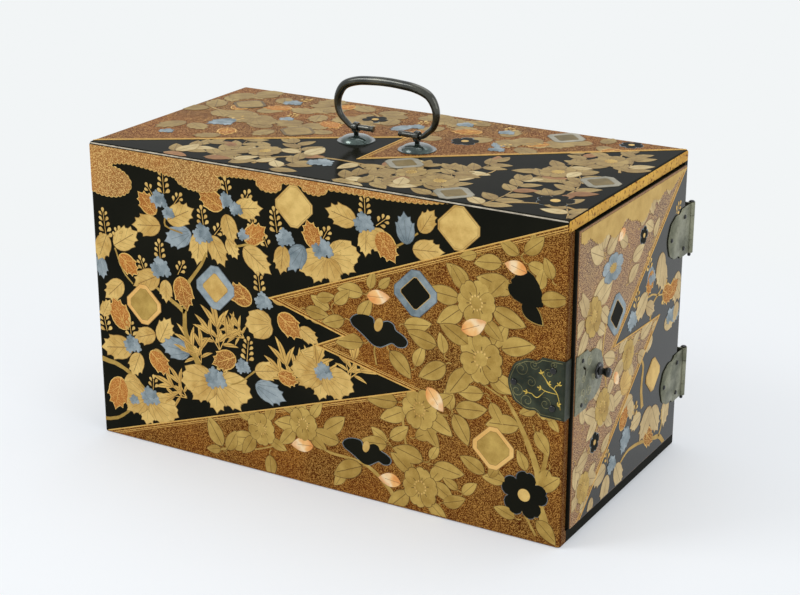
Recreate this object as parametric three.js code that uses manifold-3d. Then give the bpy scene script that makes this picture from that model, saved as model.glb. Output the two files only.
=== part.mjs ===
// A portable lacquered cabinet: a long case with a side-hinged door in one short end,
// four full-length drawers behind it, a swinging bail on top and a corner lock.
// Millimetres, +Z up. The origin is the centre of the base. The long front face looks
// along -Y, the door is the +X end, and the door is hinged on the +Y side.
import * as THREE from "three";
import { mergeVertices } from "three/addons/utils/BufferGeometryUtils.js";
import Module from "manifold-3d";

// Case
const CASE_LENGTH = 454;
const CASE_WIDTH = 235;
const CASE_HEIGHT = 270;
const SIDE_THICKNESS = 9;
const TOP_THICKNESS = 9;
const BASE_THICKNESS = 11;
const END_THICKNESS = 9;
const CORNER_RADIUS = 3;
const TOP_EDGE_RADIUS = 2.4;
const BASE_EDGE_RADIUS = 1.2;
const ARC_STEPS = 4;
const FIT = 0.3;

// Linings and shelves
const LINING_THICKNESS = 4;
const LINING_SETBACK = 0.5;
const SHELF_THICKNESS = 6;
const DADO_DEPTH = 2;

// Door
const DOOR_THICKNESS = 12;
const DOOR_PROUD = 3.2;
const DOOR_GAP_FREE = 2;
const DOOR_GAP = 1.6;
const DOOR_EDGE_RADIUS = 1.1;

// Drawers
const DRAWER_COUNT = 4;
const DRAWER_FRONT = 10;
const DRAWER_WALL = 6;
const DRAWER_BOTTOM = 4;
const DRAWER_SIDE_GAP = 0.5;
const DRAWER_TOP_GAP = 1.5;
const DRAWER_END_GAP = 2;
const DRAWER_RIM_DROP = 6;
const PULL_SPACE = 14;
const PULL_BASE_RADIUS = 7;
const PULL_HEAD_RADIUS = 4.6;
const PULL_REACH = 9.5;
const PULL_SHANK_RADIUS = 1.6;

// Metal plates
const PLATE_THICKNESS = 1.1;
const PLATE_BEVEL = 0.3;
const LOBE_STEPS = 5;

// Hinges
const HINGE_HEIGHTS = [0.744, 0.253];
const LEAF_HEIGHT = 44;
const LEAF_DEPTH = 47;
const LEAF_EDGE_BACK = 0.6;
const HINGE_AXIS_OUT = 3.4;
const BARREL_RADIUS = 3;
const BARREL_LENGTH = 45;
const MIDDLE_KNUCKLE = 21;
const KNUCKLE_GAP = 0.4;
const HINGE_PIN_RADIUS = 1.5;
const HINGE_PIN_TAIL = 3.4;

// Lock
const LOCK_HEIGHT = 134;
const LOCK_PLATE_HEIGHT = 49;
const STRIKE_DEPTH = 48;
const STRIKE_RETURN = 8.4;
const DOOR_PLATE_DEPTH = 51;
const DOOR_PLATE_INSET = 0.6;
const KEYHOLE_INSET = 15;
const KEYHOLE_RISE = 9;
const KEYHOLE_WIDTH = 1.9;
const KEY_BORE_RADIUS = 3.4;
const LOCK_CASE_WIDTH = 28;
const LOCK_CASE_HEIGHT = 30;
const LOCK_CASE_DEPTH = 7.4;
const LOCK_CASE_WALL = 1.2;
const LOCK_CASE_INSET = 5;
const LOCK_COVER_LAP = 2;
const BOLT_HEIGHT = 10;
const BOLT_THICKNESS = 4.6;
const BOLT_LENGTH = 24;
const BOLT_TRAVEL = 6.5;
const BOLT_NOTCH = 3;
const SPRING_THICKNESS = 0.6;
const SPRING_HEIGHT = 4.6;
const SPRING_STEPS = 10;

// Door knob
const KNOB_INSET = 41;
const KNOB_COLLAR_RADIUS = 6.8;
const KNOB_COLLAR_THICKNESS = 1.6;
const KNOB_NECK_RADIUS = 2.7;
const KNOB_HEAD_RADIUS = 4;
const KNOB_REACH = 9.4;
const KNOB_SHANK_RADIUS = 1.8;
const KNOB_WASHER_RADIUS = 4.5;

// Carrying handle
const EYE_SPACING = 60;
const EYE_RISE = 11.5;
const EYE_BORE = 3.1;
const EYE_RADIUS = 5;
const EYE_BREADTH = 4.6;
const POST_RADIUS = 2.1;
const POST_BORE = 2.5;
const ROSETTE_RADIUS = 16.4;
const ROSETTE_RIM = 0.8;
const ROSETTE_DOME_RADIUS = 13.6;
const ROSETTE_DOME_HEIGHT = 5.4;
const BAIL_HALF_WIDTH = 49.2;
const BAIL_RISE = 43;
const BAIL_TIP_INSET = 17.5;
const BAIL_EYE_RADIUS = 2.4;
const BAIL_GRIP_RADIUS = 3.9;
const BAIL_TIP_RADIUS = 3;
const BAIL_TIP_LENGTH = 3;
const BAIL_STEPS = 54;
const BAIL_SIDES = 12;
const WASHER_RADIUS = 6;
const WASHER_THICKNESS = 0.8;
const CLINCH_LENGTH = 7;
const CLINCH_WIDTH = 3;
const CLINCH_THICKNESS = 1.3;

// Places worked out from the sizes above
const HALF_LENGTH = CASE_LENGTH / 2;
const HALF_WIDTH = CASE_WIDTH / 2;
const INNER_WIDTH = CASE_WIDTH - 2 * SIDE_THICKNESS;
const INNER_HEIGHT = CASE_HEIGHT - TOP_THICKNESS - BASE_THICKNESS;
const DOOR_FACE = HALF_LENGTH + DOOR_PROUD;
const DOOR_BACK = DOOR_FACE - DOOR_THICKNESS;
const DOOR_FREE_EDGE = -HALF_WIDTH + SIDE_THICKNESS + DOOR_GAP_FREE;
const DOOR_HINGE_EDGE = HALF_WIDTH - SIDE_THICKNESS - DOOR_GAP;
const LINING_FRONT = DOOR_BACK - LINING_SETBACK;
const LINING_BACK = -HALF_LENGTH + END_THICKNESS;
const DRAWER_FACE = LINING_FRONT - PULL_SPACE;
const BAY_WIDTH = INNER_WIDTH - 2 * LINING_THICKNESS;
const BAY_HEIGHT = (INNER_HEIGHT - (DRAWER_COUNT - 1) * SHELF_THICKNESS) / DRAWER_COUNT;
const BAY_PITCH = BAY_HEIGHT + SHELF_THICKNESS;
const BOLT_X = DOOR_BACK + 1 + BOLT_THICKNESS / 2;
const BOLT_ROOM = BOLT_THICKNESS / 2 + FIT;

const FINISHES = {
  lacquer: { color: 0x17130f, roughness: 0.22, metalness: 0.0 },
  inner_lacquer: { color: 0x2a1a10, roughness: 0.35, metalness: 0.0 },
  bronze: { color: 0x4d5048, roughness: 0.42, metalness: 0.85 },
  dark_bronze: { color: 0x2c3230, roughness: 0.4, metalness: 0.85 },
  iron: { color: 0x3a3733, roughness: 0.5, metalness: 0.8 },
};

const wasm = await Module();
wasm.setup();

// A closed body with shared vertices, no slivers and its faces pointing out
function closed(geometry) {
  const bare = geometry.clone();
  bare.deleteAttribute("normal");
  bare.deleteAttribute("uv");
  const merged = mergeVertices(bare, 1e-4);
  const points = merged.attributes.position;
  const source = merged.index.array;
  const kept = [];
  let volume = 0;
  const a = new THREE.Vector3();
  const b = new THREE.Vector3();
  const c = new THREE.Vector3();
  for (let i = 0; i < source.length; i += 3) {
    const [p, q, r] = [source[i], source[i + 1], source[i + 2]];
    if (p === q || q === r || r === p) {
      continue;
    }
    kept.push(p, q, r);
    a.fromBufferAttribute(points, p);
    b.fromBufferAttribute(points, q);
    c.fromBufferAttribute(points, r);
    volume += a.dot(b.cross(c));
  }
  if (volume < 0) {
    for (let i = 0; i < kept.length; i += 3) [kept[i + 1], kept[i + 2]] = [kept[i + 2], kept[i + 1]];
  }
  merged.setIndex(kept);
  return merged;
}

function toSolid(geometry) {
  const body = closed(geometry);
  return new wasm.Manifold(new wasm.Mesh({
    numProp: 3,
    vertProperties: new Float32Array(body.attributes.position.array),
    triVerts: new Uint32Array(body.index.array),
  }));
}

function toGeometry(solid) {
  const { vertProperties, triVerts } = solid.getMesh();
  const geometry = new THREE.BufferGeometry();
  geometry.setAttribute("position", new THREE.BufferAttribute(vertProperties, 3));
  geometry.setIndex(new THREE.BufferAttribute(triVerts, 1));
  return geometry;
}

function join(first, ...others) {
  return toGeometry(others.reduce((sum, item) => sum.add(toSolid(item)), toSolid(first)));
}

function cut(first, ...tools) {
  return toGeometry(tools.reduce((rest, tool) => rest.subtract(toSolid(tool)), toSolid(first)));
}

// A box from its low and high corners
function box(low, high) {
  const size = high.map((value, i) => value - low[i]);
  const geometry = new THREE.BoxGeometry(...size);
  return geometry.translate(...low.map((value, i) => value + size[i] / 2));
}

// A body through rings of equal point counts, each counter-clockwise about its direction
function loft(rings) {
  const count = rings[0].length;
  const positions = rings.flat(2);
  const index = [];
  for (let i = 0; i + 1 < rings.length; i++) {
    for (let j = 0; j < count; j++) {
      const k = (j + 1) % count;
      const near = i * count;
      const far = near + count;
      index.push(near + j, near + k, far + k, near + j, far + k, far + j);
    }
  }
  const centre = (ring) => [0, 1, 2].map((axis) => ring.reduce((sum, p) => sum + p[axis], 0) / count);
  positions.push(...centre(rings[0]), ...centre(rings.at(-1)));
  const start = rings.length * count;
  const last = start - count;
  for (let j = 0; j < count; j++) {
    const k = (j + 1) % count;
    index.push(start, k, j, start + 1, last + j, last + k);
  }
  const geometry = new THREE.BufferGeometry();
  geometry.setAttribute("position", new THREE.Float32BufferAttribute(positions, 3));
  geometry.setIndex(index);
  return geometry;
}

// Points of a rectangle with round corners, counter-clockwise
function roundedRectangle(width, height, radius) {
  const points = [];
  const corners = [[1, 1, 0], [-1, 1, 1], [-1, -1, 2], [1, -1, 3]];
  for (const [su, sv, quarter] of corners) {
    for (let step = 0; step <= ARC_STEPS; step++) {
      const angle = (quarter + step / ARC_STEPS) * Math.PI / 2;
      const u = su * (width / 2 - radius) + radius * Math.cos(angle);
      const v = sv * (height / 2 - radius) + radius * Math.sin(angle);
      points.push([u, v]);
    }
  }
  return points;
}

// A board with round corners and eased edges on its low and high faces.
// The map turns plan coordinates and a height into a point of the part.
function easedBoard(width, height, thickness, radius, easeLow, easeHigh, map) {
  const rings = [];
  const addRing = (inset, level) => {
    const outline = roundedRectangle(width - 2 * inset, height - 2 * inset, radius - inset);
    rings.push(outline.map(([u, v]) => map(u, v, level)));
  };
  for (let step = 0; step <= ARC_STEPS; step++) {
    const angle = (1 - step / ARC_STEPS) * Math.PI / 2;
    addRing(easeLow * (1 - Math.cos(angle)), easeLow * (1 - Math.sin(angle)));
  }
  for (let step = 0; step <= ARC_STEPS; step++) {
    const angle = (step / ARC_STEPS) * Math.PI / 2;
    addRing(easeHigh * (1 - Math.cos(angle)), thickness - easeHigh * (1 - Math.sin(angle)));
  }
  return loft(rings);
}

// A turned body about +Z, from a profile of [radius, height] points
function turned(profile, segments = 28) {
  const points = profile.map(([radius, height]) => new THREE.Vector2(radius, height));
  return new THREE.LatheGeometry(points, segments).rotateX(Math.PI / 2);
}

// The same about +X
function turnedAlongX(profile, segments = 28) {
  return turned(profile, segments).rotateY(Math.PI / 2);
}

function rod(radius, low, high, segments = 20) {
  return turned([[0, low], [radius, low], [radius, high], [0, high]], segments);
}

function rodAlongX(radius, low, high, segments = 20) {
  return rod(radius, low, high, segments).rotateY(Math.PI / 2);
}

// Moves a body drawn in its own axes so that these point along the two given directions
function orient(geometry, xAxis, yAxis) {
  const x = new THREE.Vector3(...xAxis);
  const y = new THREE.Vector3(...yAxis);
  const basis = new THREE.Matrix4().makeBasis(x, y, x.clone().cross(y));
  return geometry.clone().applyMatrix4(basis);
}

// The lobed outline of the fittings: straight along u = 0, then a concave step, two lobes and a
// broad end lobe at u = depth, each meeting the next in a cusp
function lobedOutline(depth, height, foot = 0) {
  const half = height / 2;
  const stretches = [
    { from: [foot, half], to: [0.4 * depth, half], swell: 0 },
    { from: [0.4 * depth, half], to: [0.52 * depth, 0.84 * half], swell: -0.7 },
    { from: [0.52 * depth, 0.84 * half], to: [0.79 * depth, 0.74 * half], swell: 1.7 },
    { from: [0.79 * depth, 0.74 * half], to: [0.94 * depth, 0.42 * half], swell: 1.5 },
  ];
  const bow = (from, to, swell, steps) => {
    const [du, dv] = [to[0] - from[0], to[1] - from[1]];
    const span = Math.hypot(du, dv);
    return Array.from({ length: steps }, (_, step) => {
      const t = step / steps;
      const bulge = swell * Math.sin(Math.PI * t) / span;
      return [from[0] + du * t - dv * bulge, from[1] + dv * t + du * bulge];
    });
  };
  const upper = stretches.flatMap(
    ({ from, to, swell }) => bow(from, to, swell, swell === 0 ? 1 : LOBE_STEPS),
  );
  const lower = upper.map(([u, v]) => [u, -v]).reverse();
  const cusp = stretches.at(-1).to;
  const end = bow(cusp, [cusp[0], -cusp[1]], 0.06 * depth, 2 * LOBE_STEPS);
  const outline = [...upper, ...end, [cusp[0], -cusp[1]], ...lower];
  return new THREE.Shape(outline.map(([u, v]) => new THREE.Vector2(u, v)));
}

function sheet(shape, thickness = PLATE_THICKNESS) {
  return new THREE.ExtrudeGeometry(shape, {
    depth: thickness - 2 * PLATE_BEVEL,
    bevelEnabled: true,
    bevelThickness: PLATE_BEVEL,
    bevelSize: PLATE_BEVEL,
    bevelOffset: -PLATE_BEVEL,
    bevelSegments: 1,
    curveSegments: 8,
  }).translate(0, 0, PLATE_BEVEL);
}

function add(group, name, geometry, finish) {
  const piece = new THREE.Mesh(closed(geometry), new THREE.MeshStandardMaterial(FINISHES[finish]));
  piece.geometry.computeVertexNormals();
  piece.name = name;
  group.add(piece);
  return piece;
}

// Bottom of the bay that holds a drawer, counted from the base
function bayFloor(index) {
  return BASE_THICKNESS + index * BAY_PITCH;
}

// The five boards of the case
function buildCase() {
  const group = new THREE.Group();
  const plan = (base) => (u, v, level) => [u, v, base + level];
  const posts = [-1, 1].map((side) => rod(POST_BORE, -1, TOP_THICKNESS + 1)
    .translate(side * EYE_SPACING / 2, 0, CASE_HEIGHT - TOP_THICKNESS));
  const top = easedBoard(CASE_LENGTH, CASE_WIDTH, TOP_THICKNESS, CORNER_RADIUS, 0, TOP_EDGE_RADIUS,
    plan(CASE_HEIGHT - TOP_THICKNESS));
  add(group, "top_board", cut(top, ...posts), "lacquer");
  const base = easedBoard(CASE_LENGTH, CASE_WIDTH, BASE_THICKNESS, CORNER_RADIUS, BASE_EDGE_RADIUS, 0,
    plan(0));
  add(group, "base_board", base, "lacquer");

  for (const [name, side] of [["front_side_board", -1], ["back_side_board", 1]]) {
    const board = easedBoard(CASE_LENGTH, 2 * SIDE_THICKNESS, INNER_HEIGHT, CORNER_RADIUS, 0, 0,
      plan(BASE_THICKNESS));
    const halved = cut(board, box([-CASE_LENGTH, 0, 0], [CASE_LENGTH, CASE_WIDTH, CASE_HEIGHT]));
    const solid = side < 0 ? halved : halved.rotateZ(Math.PI);
    solid.translate(0, side * (HALF_WIDTH - SIDE_THICKNESS), 0);
    const inside = -HALF_WIDTH + SIDE_THICKNESS;
    const mortise = box(
      [BOLT_X - BOLT_ROOM, inside - BOLT_TRAVEL + DOOR_GAP_FREE - 1, LOCK_HEIGHT - BOLT_HEIGHT / 2 - FIT],
      [BOLT_X + BOLT_ROOM, inside + 1, LOCK_HEIGHT + BOLT_HEIGHT / 2 + FIT],
    );
    add(group, name, side < 0 ? cut(solid, mortise) : solid, "lacquer");
  }

  const farEnd = box([-HALF_LENGTH, -INNER_WIDTH / 2, BASE_THICKNESS],
    [-HALF_LENGTH + END_THICKNESS, INNER_WIDTH / 2, CASE_HEIGHT - TOP_THICKNESS]);
  add(group, "far_end_board", farEnd, "lacquer");
  return group;
}

// Side linings with dadoes, and the shelves that sit in them
function buildInterior() {
  const group = new THREE.Group();
  const lining = INNER_WIDTH / 2 - LINING_THICKNESS;
  for (const [name, side] of [["front_lining", -1], ["back_lining", 1]]) {
    const inner = side * lining;
    const outer = side * INNER_WIDTH / 2;
    const blank = box([LINING_BACK, Math.min(inner, outer), BASE_THICKNESS],
      [LINING_FRONT, Math.max(inner, outer), CASE_HEIGHT - TOP_THICKNESS]);
    const dadoes = [];
    for (let i = 1; i < DRAWER_COUNT; i++) {
      const shelfBottom = bayFloor(i) - SHELF_THICKNESS;
      const edges = [inner - side, inner + side * DADO_DEPTH];
      dadoes.push(box([LINING_BACK - 1, Math.min(...edges), shelfBottom - FIT],
        [DRAWER_FACE + FIT, Math.max(...edges), shelfBottom + SHELF_THICKNESS + FIT]));
    }
    add(group, name, cut(blank, ...dadoes), "inner_lacquer");
  }
  for (let i = 1; i < DRAWER_COUNT; i++) {
    const reach = lining + DADO_DEPTH - FIT;
    const shelf = box([LINING_BACK + FIT, -reach, bayFloor(i) - SHELF_THICKNESS],
      [DRAWER_FACE, reach, bayFloor(i)]);
    add(group, `drawer_shelf_${i}`, shelf, "inner_lacquer");
  }
  return group;
}

// One drawer in its own frame: x = 0 at its face, z = 0 at the underside of its bottom
function buildDrawer(index) {
  const group = new THREE.Group();
  const name = `drawer_${index + 1}`;
  const half = BAY_WIDTH / 2 - DRAWER_SIDE_GAP;
  const height = BAY_HEIGHT - DRAWER_TOP_GAP;
  const back = LINING_BACK + DRAWER_END_GAP - DRAWER_FACE;
  const rim = height - DRAWER_RIM_DROP;
  const panel = easedBoard(2 * half, height, DRAWER_FRONT, 1.2, 0, 0.9,
    (u, v, level) => [level - DRAWER_FRONT, u, v + height / 2]);
  const bore = rodAlongX(PULL_SHANK_RADIUS + FIT, -DRAWER_FRONT - 1, 1).translate(0, 0, height / 2);
  add(group, `${name}_front`, cut(panel, bore), "lacquer");
  const wallTop = rim;
  for (const [side, sign] of [["left", -1], ["right", 1]]) {
    const walls = [sign * half, sign * (half - DRAWER_WALL)];
    const wall = box([back, Math.min(...walls), DRAWER_BOTTOM], [-DRAWER_FRONT, Math.max(...walls), wallTop]);
    add(group, `${name}_${side}_side`, wall, "inner_lacquer");
  }
  add(group, `${name}_back`, box([back, -half + DRAWER_WALL, DRAWER_BOTTOM],
    [back + DRAWER_WALL, half - DRAWER_WALL, wallTop]), "inner_lacquer");
  add(group, `${name}_bottom`, box([back, -half, 0], [-DRAWER_FRONT, half, DRAWER_BOTTOM]), "inner_lacquer");
  const pull = turnedAlongX([
    [0, -DRAWER_FRONT - 1.4], [PULL_SHANK_RADIUS, -DRAWER_FRONT - 1.4], [PULL_SHANK_RADIUS, 0.2],
    [PULL_BASE_RADIUS, 0.2], [PULL_BASE_RADIUS, 0.6], [PULL_BASE_RADIUS * 0.6, 1.6],
    [PULL_SHANK_RADIUS + 0.4, 2], [PULL_SHANK_RADIUS + 0.3, 4.6], [PULL_HEAD_RADIUS * 0.8, 6],
    [PULL_HEAD_RADIUS, 7.2], [PULL_HEAD_RADIUS * 0.86, 8.6], [PULL_HEAD_RADIUS * 0.4, PULL_REACH - 0.15],
    [0, PULL_REACH],
  ], 20).translate(0, 0, height / 2);
  add(group, `${name}_pull`, pull, "bronze");
  group.position.set(DRAWER_FACE, 0, bayFloor(index) + FIT);
  return group;
}

// The door panel with the pocket, bolt channel and bores of its lock
function buildDoor() {
  const group = new THREE.Group();
  const width = DOOR_HINGE_EDGE - DOOR_FREE_EDGE;
  const height = INNER_HEIGHT - 2 * DOOR_GAP;
  const middle = (DOOR_HINGE_EDGE + DOOR_FREE_EDGE) / 2;
  const panel = easedBoard(width, height, DOOR_THICKNESS, DOOR_EDGE_RADIUS + 0.4, DOOR_EDGE_RADIUS,
    DOOR_EDGE_RADIUS,
    (u, v, level) => [DOOR_BACK + level, middle + u, BASE_THICKNESS + INNER_HEIGHT / 2 + v]);
  const caseLow = DOOR_FREE_EDGE + LOCK_CASE_INSET;
  const caseRoom = LOCK_CASE_HEIGHT / 2 + FIT;
  const pocket = box([DOOR_BACK - 1, caseLow - FIT, LOCK_HEIGHT - caseRoom],
    [DOOR_BACK + LOCK_CASE_DEPTH + FIT, caseLow + LOCK_CASE_WIDTH + FIT, LOCK_HEIGHT + caseRoom]);
  const channel = box([BOLT_X - BOLT_ROOM, DOOR_FREE_EDGE - 1, LOCK_HEIGHT - BOLT_HEIGHT / 2 - FIT],
    [BOLT_X + BOLT_ROOM, caseLow + 1, LOCK_HEIGHT + BOLT_HEIGHT / 2 + FIT]);
  const plateEdge = DOOR_FREE_EDGE + DOOR_PLATE_INSET;
  const keyBore = rodAlongX(KEY_BORE_RADIUS, DOOR_BACK + 1, DOOR_FACE + 1)
    .translate(0, plateEdge + KEYHOLE_INSET, LOCK_HEIGHT + KEYHOLE_RISE);
  const knobBore = rodAlongX(KNOB_SHANK_RADIUS + FIT, DOOR_BACK - 1, DOOR_FACE + 1)
    .translate(0, plateEdge + KNOB_INSET, LOCK_HEIGHT);
  add(group, "door_panel", cut(panel, pocket, channel, keyBore, knobBore), "lacquer");
  return group;
}

// One hinge leaf: its face is y = 0, its straight edge is by x = 0, and it is the same upside down.
// The knuckles stand on the axis at (along, out).
function hingeLeaf(spans, along, out) {
  const plate = orient(sheet(lobedOutline(LEAF_DEPTH, LEAF_HEIGHT, LEAF_EDGE_BACK)), [-1, 0, 0], [0, 0, 1]);
  const barrels = [];
  for (const [low, high] of spans) {
    barrels.push(box([-LEAF_EDGE_BACK - 2, 0, low], [along, PLATE_THICKNESS, high]));
    barrels.push(rod(BARREL_RADIUS, low, high, 24).translate(along, out, 0));
  }
  const bore = rod(HINGE_PIN_RADIUS + FIT, -BARREL_LENGTH, BARREL_LENGTH, 16).translate(along, out, 0);
  return cut(join(plate, ...barrels), bore);
}

// A hinge at the far vertical corner of the door end: a box leaf, a door leaf and a loose pin
function buildHinge(name, height) {
  const group = new THREE.Group();
  const end = BARREL_LENGTH / 2;
  const middle = MIDDLE_KNUCKLE / 2;
  const outer = [[-end, -middle - KNUCKLE_GAP], [middle + KNUCKLE_GAP, end]];
  const boxLeaf = hingeLeaf(outer, HINGE_AXIS_OUT, HINGE_AXIS_OUT);
  boxLeaf.translate(HALF_LENGTH, HALF_WIDTH, 0);
  add(group, `${name}_box_leaf`, boxLeaf, "bronze");
  const flatLeaf = hingeLeaf([[-middle, middle]], HINGE_AXIS_OUT, HINGE_AXIS_OUT - DOOR_PROUD);
  const doorLeaf = orient(flatLeaf, [0, 1, 0], [1, 0, 0]);
  doorLeaf.translate(DOOR_FACE, HALF_WIDTH, 0);
  add(group, `${name}_door_leaf`, doorLeaf, "bronze");
  const tail = -end - HINGE_PIN_TAIL;
  const pin = turned([
    [0, tail], [HINGE_PIN_RADIUS * 0.7, tail], [HINGE_PIN_RADIUS, tail + 0.6],
    [HINGE_PIN_RADIUS, end + FIT], [HINGE_PIN_RADIUS + 0.9, end + FIT], [HINGE_PIN_RADIUS + 0.7, end + 1],
    [HINGE_PIN_RADIUS * 0.5, end + 1.5], [0, end + 1.6],
  ], 16);
  pin.translate(HALF_LENGTH + HINGE_AXIS_OUT, HALF_WIDTH + HINGE_AXIS_OUT, 0);
  add(group, `${name}_pin`, pin, "dark_bronze");
  group.position.z = height;
  return group;
}

// The curved key slot, a hook of constant width
function keySlot() {
  const curve = new THREE.CatmullRomCurve3([
    new THREE.Vector3(-2.4, 4.6, 0), new THREE.Vector3(-1.2, 2.2, 0), new THREE.Vector3(1.5, 0.9, 0),
    new THREE.Vector3(1.9, -1.8, 0), new THREE.Vector3(0.6, -4.6, 0),
  ]);
  const path = curve.getPoints(12);
  const sides = [1, -1].map((sign) => path.map((point, i) => {
    const before = path[Math.max(i - 1, 0)];
    const after = path[Math.min(i + 1, path.length - 1)];
    const length = Math.hypot(after.x - before.x, after.y - before.y);
    const offset = sign * KEYHOLE_WIDTH / 2 / length;
    const [across, up] = [before.y - after.y, after.x - before.x];
    return new THREE.Vector2(point.x + across * offset, point.y + up * offset);
  }));
  return new THREE.Shape([...sides[0], ...sides[1].reverse()]);
}

// The corner lock: a strike plate that wraps the case's corner, and the door's plate, case and bolt
function buildLock() {
  const group = new THREE.Group();
  const front = orient(sheet(lobedOutline(STRIKE_DEPTH, LOCK_PLATE_HEIGHT)), [-1, 0, 0], [0, 0, 1]);
  front.rotateX(Math.PI);
  front.translate(HALF_LENGTH, -HALF_WIDTH, 0);
  const corner = roundedRectangle(STRIKE_RETURN + PLATE_THICKNESS, LOCK_PLATE_HEIGHT, 0.4);
  const returnMiddle = -HALF_WIDTH - PLATE_THICKNESS + (STRIKE_RETURN + PLATE_THICKNESS) / 2;
  const faces = [HALF_LENGTH, HALF_LENGTH + PLATE_THICKNESS];
  const side = loft(faces.map((x) => corner.map(([u, v]) => [x, returnMiddle + u, v])));
  const overlap = box([HALF_LENGTH - 1, -HALF_WIDTH - PLATE_THICKNESS + 0.3, -LOCK_PLATE_HEIGHT / 2 + 0.3],
    [HALF_LENGTH + PLATE_THICKNESS - 0.3, -HALF_WIDTH, LOCK_PLATE_HEIGHT / 2 - 0.3]);
  add(group, "strike_plate", join(front, side, overlap), "dark_bronze");

  const plateEdge = DOOR_FREE_EDGE + DOOR_PLATE_INSET;
  const face = orient(sheet(lobedOutline(DOOR_PLATE_DEPTH, LOCK_PLATE_HEIGHT)), [0, 1, 0], [0, 0, 1]);
  face.translate(DOOR_FACE, plateEdge, 0);
  const [cutFrom, cutTo] = [DOOR_FACE - 2, DOOR_FACE + 4];
  const slotBlock = new THREE.ExtrudeGeometry(keySlot(), { depth: cutTo - cutFrom, bevelEnabled: false });
  const slot = orient(slotBlock, [0, 1, 0], [0, 0, 1]);
  slot.translate(cutFrom, plateEdge + KEYHOLE_INSET, KEYHOLE_RISE);
  const shankHole = rodAlongX(KNOB_SHANK_RADIUS + FIT, cutFrom, cutTo)
    .translate(0, plateEdge + KNOB_INSET, 0);
  add(group, "door_lock_plate", cut(face, slot, shankHole), "bronze");

  const low = DOOR_FREE_EDGE + LOCK_CASE_INSET;
  const high = low + LOCK_CASE_WIDTH;
  const halfCase = LOCK_CASE_HEIGHT / 2;
  const shell = box([DOOR_BACK + FIT, low, -halfCase], [DOOR_BACK + LOCK_CASE_DEPTH, high, halfCase]);
  const hollow = box([DOOR_BACK - 1, low + LOCK_CASE_WALL, -halfCase + LOCK_CASE_WALL],
    [DOOR_BACK + LOCK_CASE_DEPTH - LOCK_CASE_WALL, high - LOCK_CASE_WALL, halfCase - LOCK_CASE_WALL]);
  const mouth = box([BOLT_X - BOLT_ROOM, low - 1, -BOLT_HEIGHT / 2 - FIT],
    [BOLT_X + BOLT_ROOM, low + 2 * LOCK_CASE_WALL, BOLT_HEIGHT / 2 + FIT]);
  const keyway = rodAlongX(KEY_BORE_RADIUS, DOOR_BACK + 1, DOOR_FACE)
    .translate(0, plateEdge + KEYHOLE_INSET, KEYHOLE_RISE);
  add(group, "lock_case", cut(shell, hollow, mouth, keyway), "iron");

  const cover = easedBoard(LOCK_CASE_WIDTH + 2 * LOCK_COVER_LAP, LOCK_CASE_HEIGHT + 2 * LOCK_COVER_LAP,
    PLATE_THICKNESS, 2, 0.3, 0,
    (u, v, level) => [DOOR_BACK - PLATE_THICKNESS + level, (low + high) / 2 + u, v]);
  add(group, "lock_cover", cover, "bronze");

  const boltLow = DOOR_FREE_EDGE + FIT;
  const bar = box([BOLT_X - BOLT_THICKNESS / 2, boltLow, -BOLT_HEIGHT / 2],
    [BOLT_X + BOLT_THICKNESS / 2, boltLow + BOLT_LENGTH, BOLT_HEIGHT / 2]);
  const talon = rodAlongX(BOLT_NOTCH, BOLT_X - BOLT_THICKNESS, BOLT_X + BOLT_THICKNESS)
    .translate(0, plateEdge + KEYHOLE_INSET, BOLT_HEIGHT / 2);
  add(group, "lock_bolt", cut(bar, talon), "iron");

  const springLow = low + LOCK_CASE_WALL + FIT;
  const springHigh = high - LOCK_CASE_WALL - FIT;
  const crown = halfCase - LOCK_CASE_WALL - FIT;
  const bow = [];
  for (const rise of [0, -SPRING_THICKNESS]) {
    const row = [];
    for (let step = 0; step <= SPRING_STEPS; step++) {
      const t = step / SPRING_STEPS;
      row.push(new THREE.Vector2(springLow + (springHigh - springLow) * t,
        crown + rise - SPRING_HEIGHT * Math.sin(Math.PI * t) * 0.5));
    }
    bow.push(rise === 0 ? row : row.reverse());
  }
  const bowShape = new THREE.Shape(bow.flat());
  const leaf = new THREE.ExtrudeGeometry(bowShape, { depth: BOLT_THICKNESS - 1, bevelEnabled: false });
  const spring = orient(leaf, [0, 1, 0], [0, 0, 1]);
  spring.translate(BOLT_X - BOLT_THICKNESS / 2, 0, 0);
  add(group, "lock_spring", spring, "iron");
  group.position.z = LOCK_HEIGHT;
  return group;
}

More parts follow.
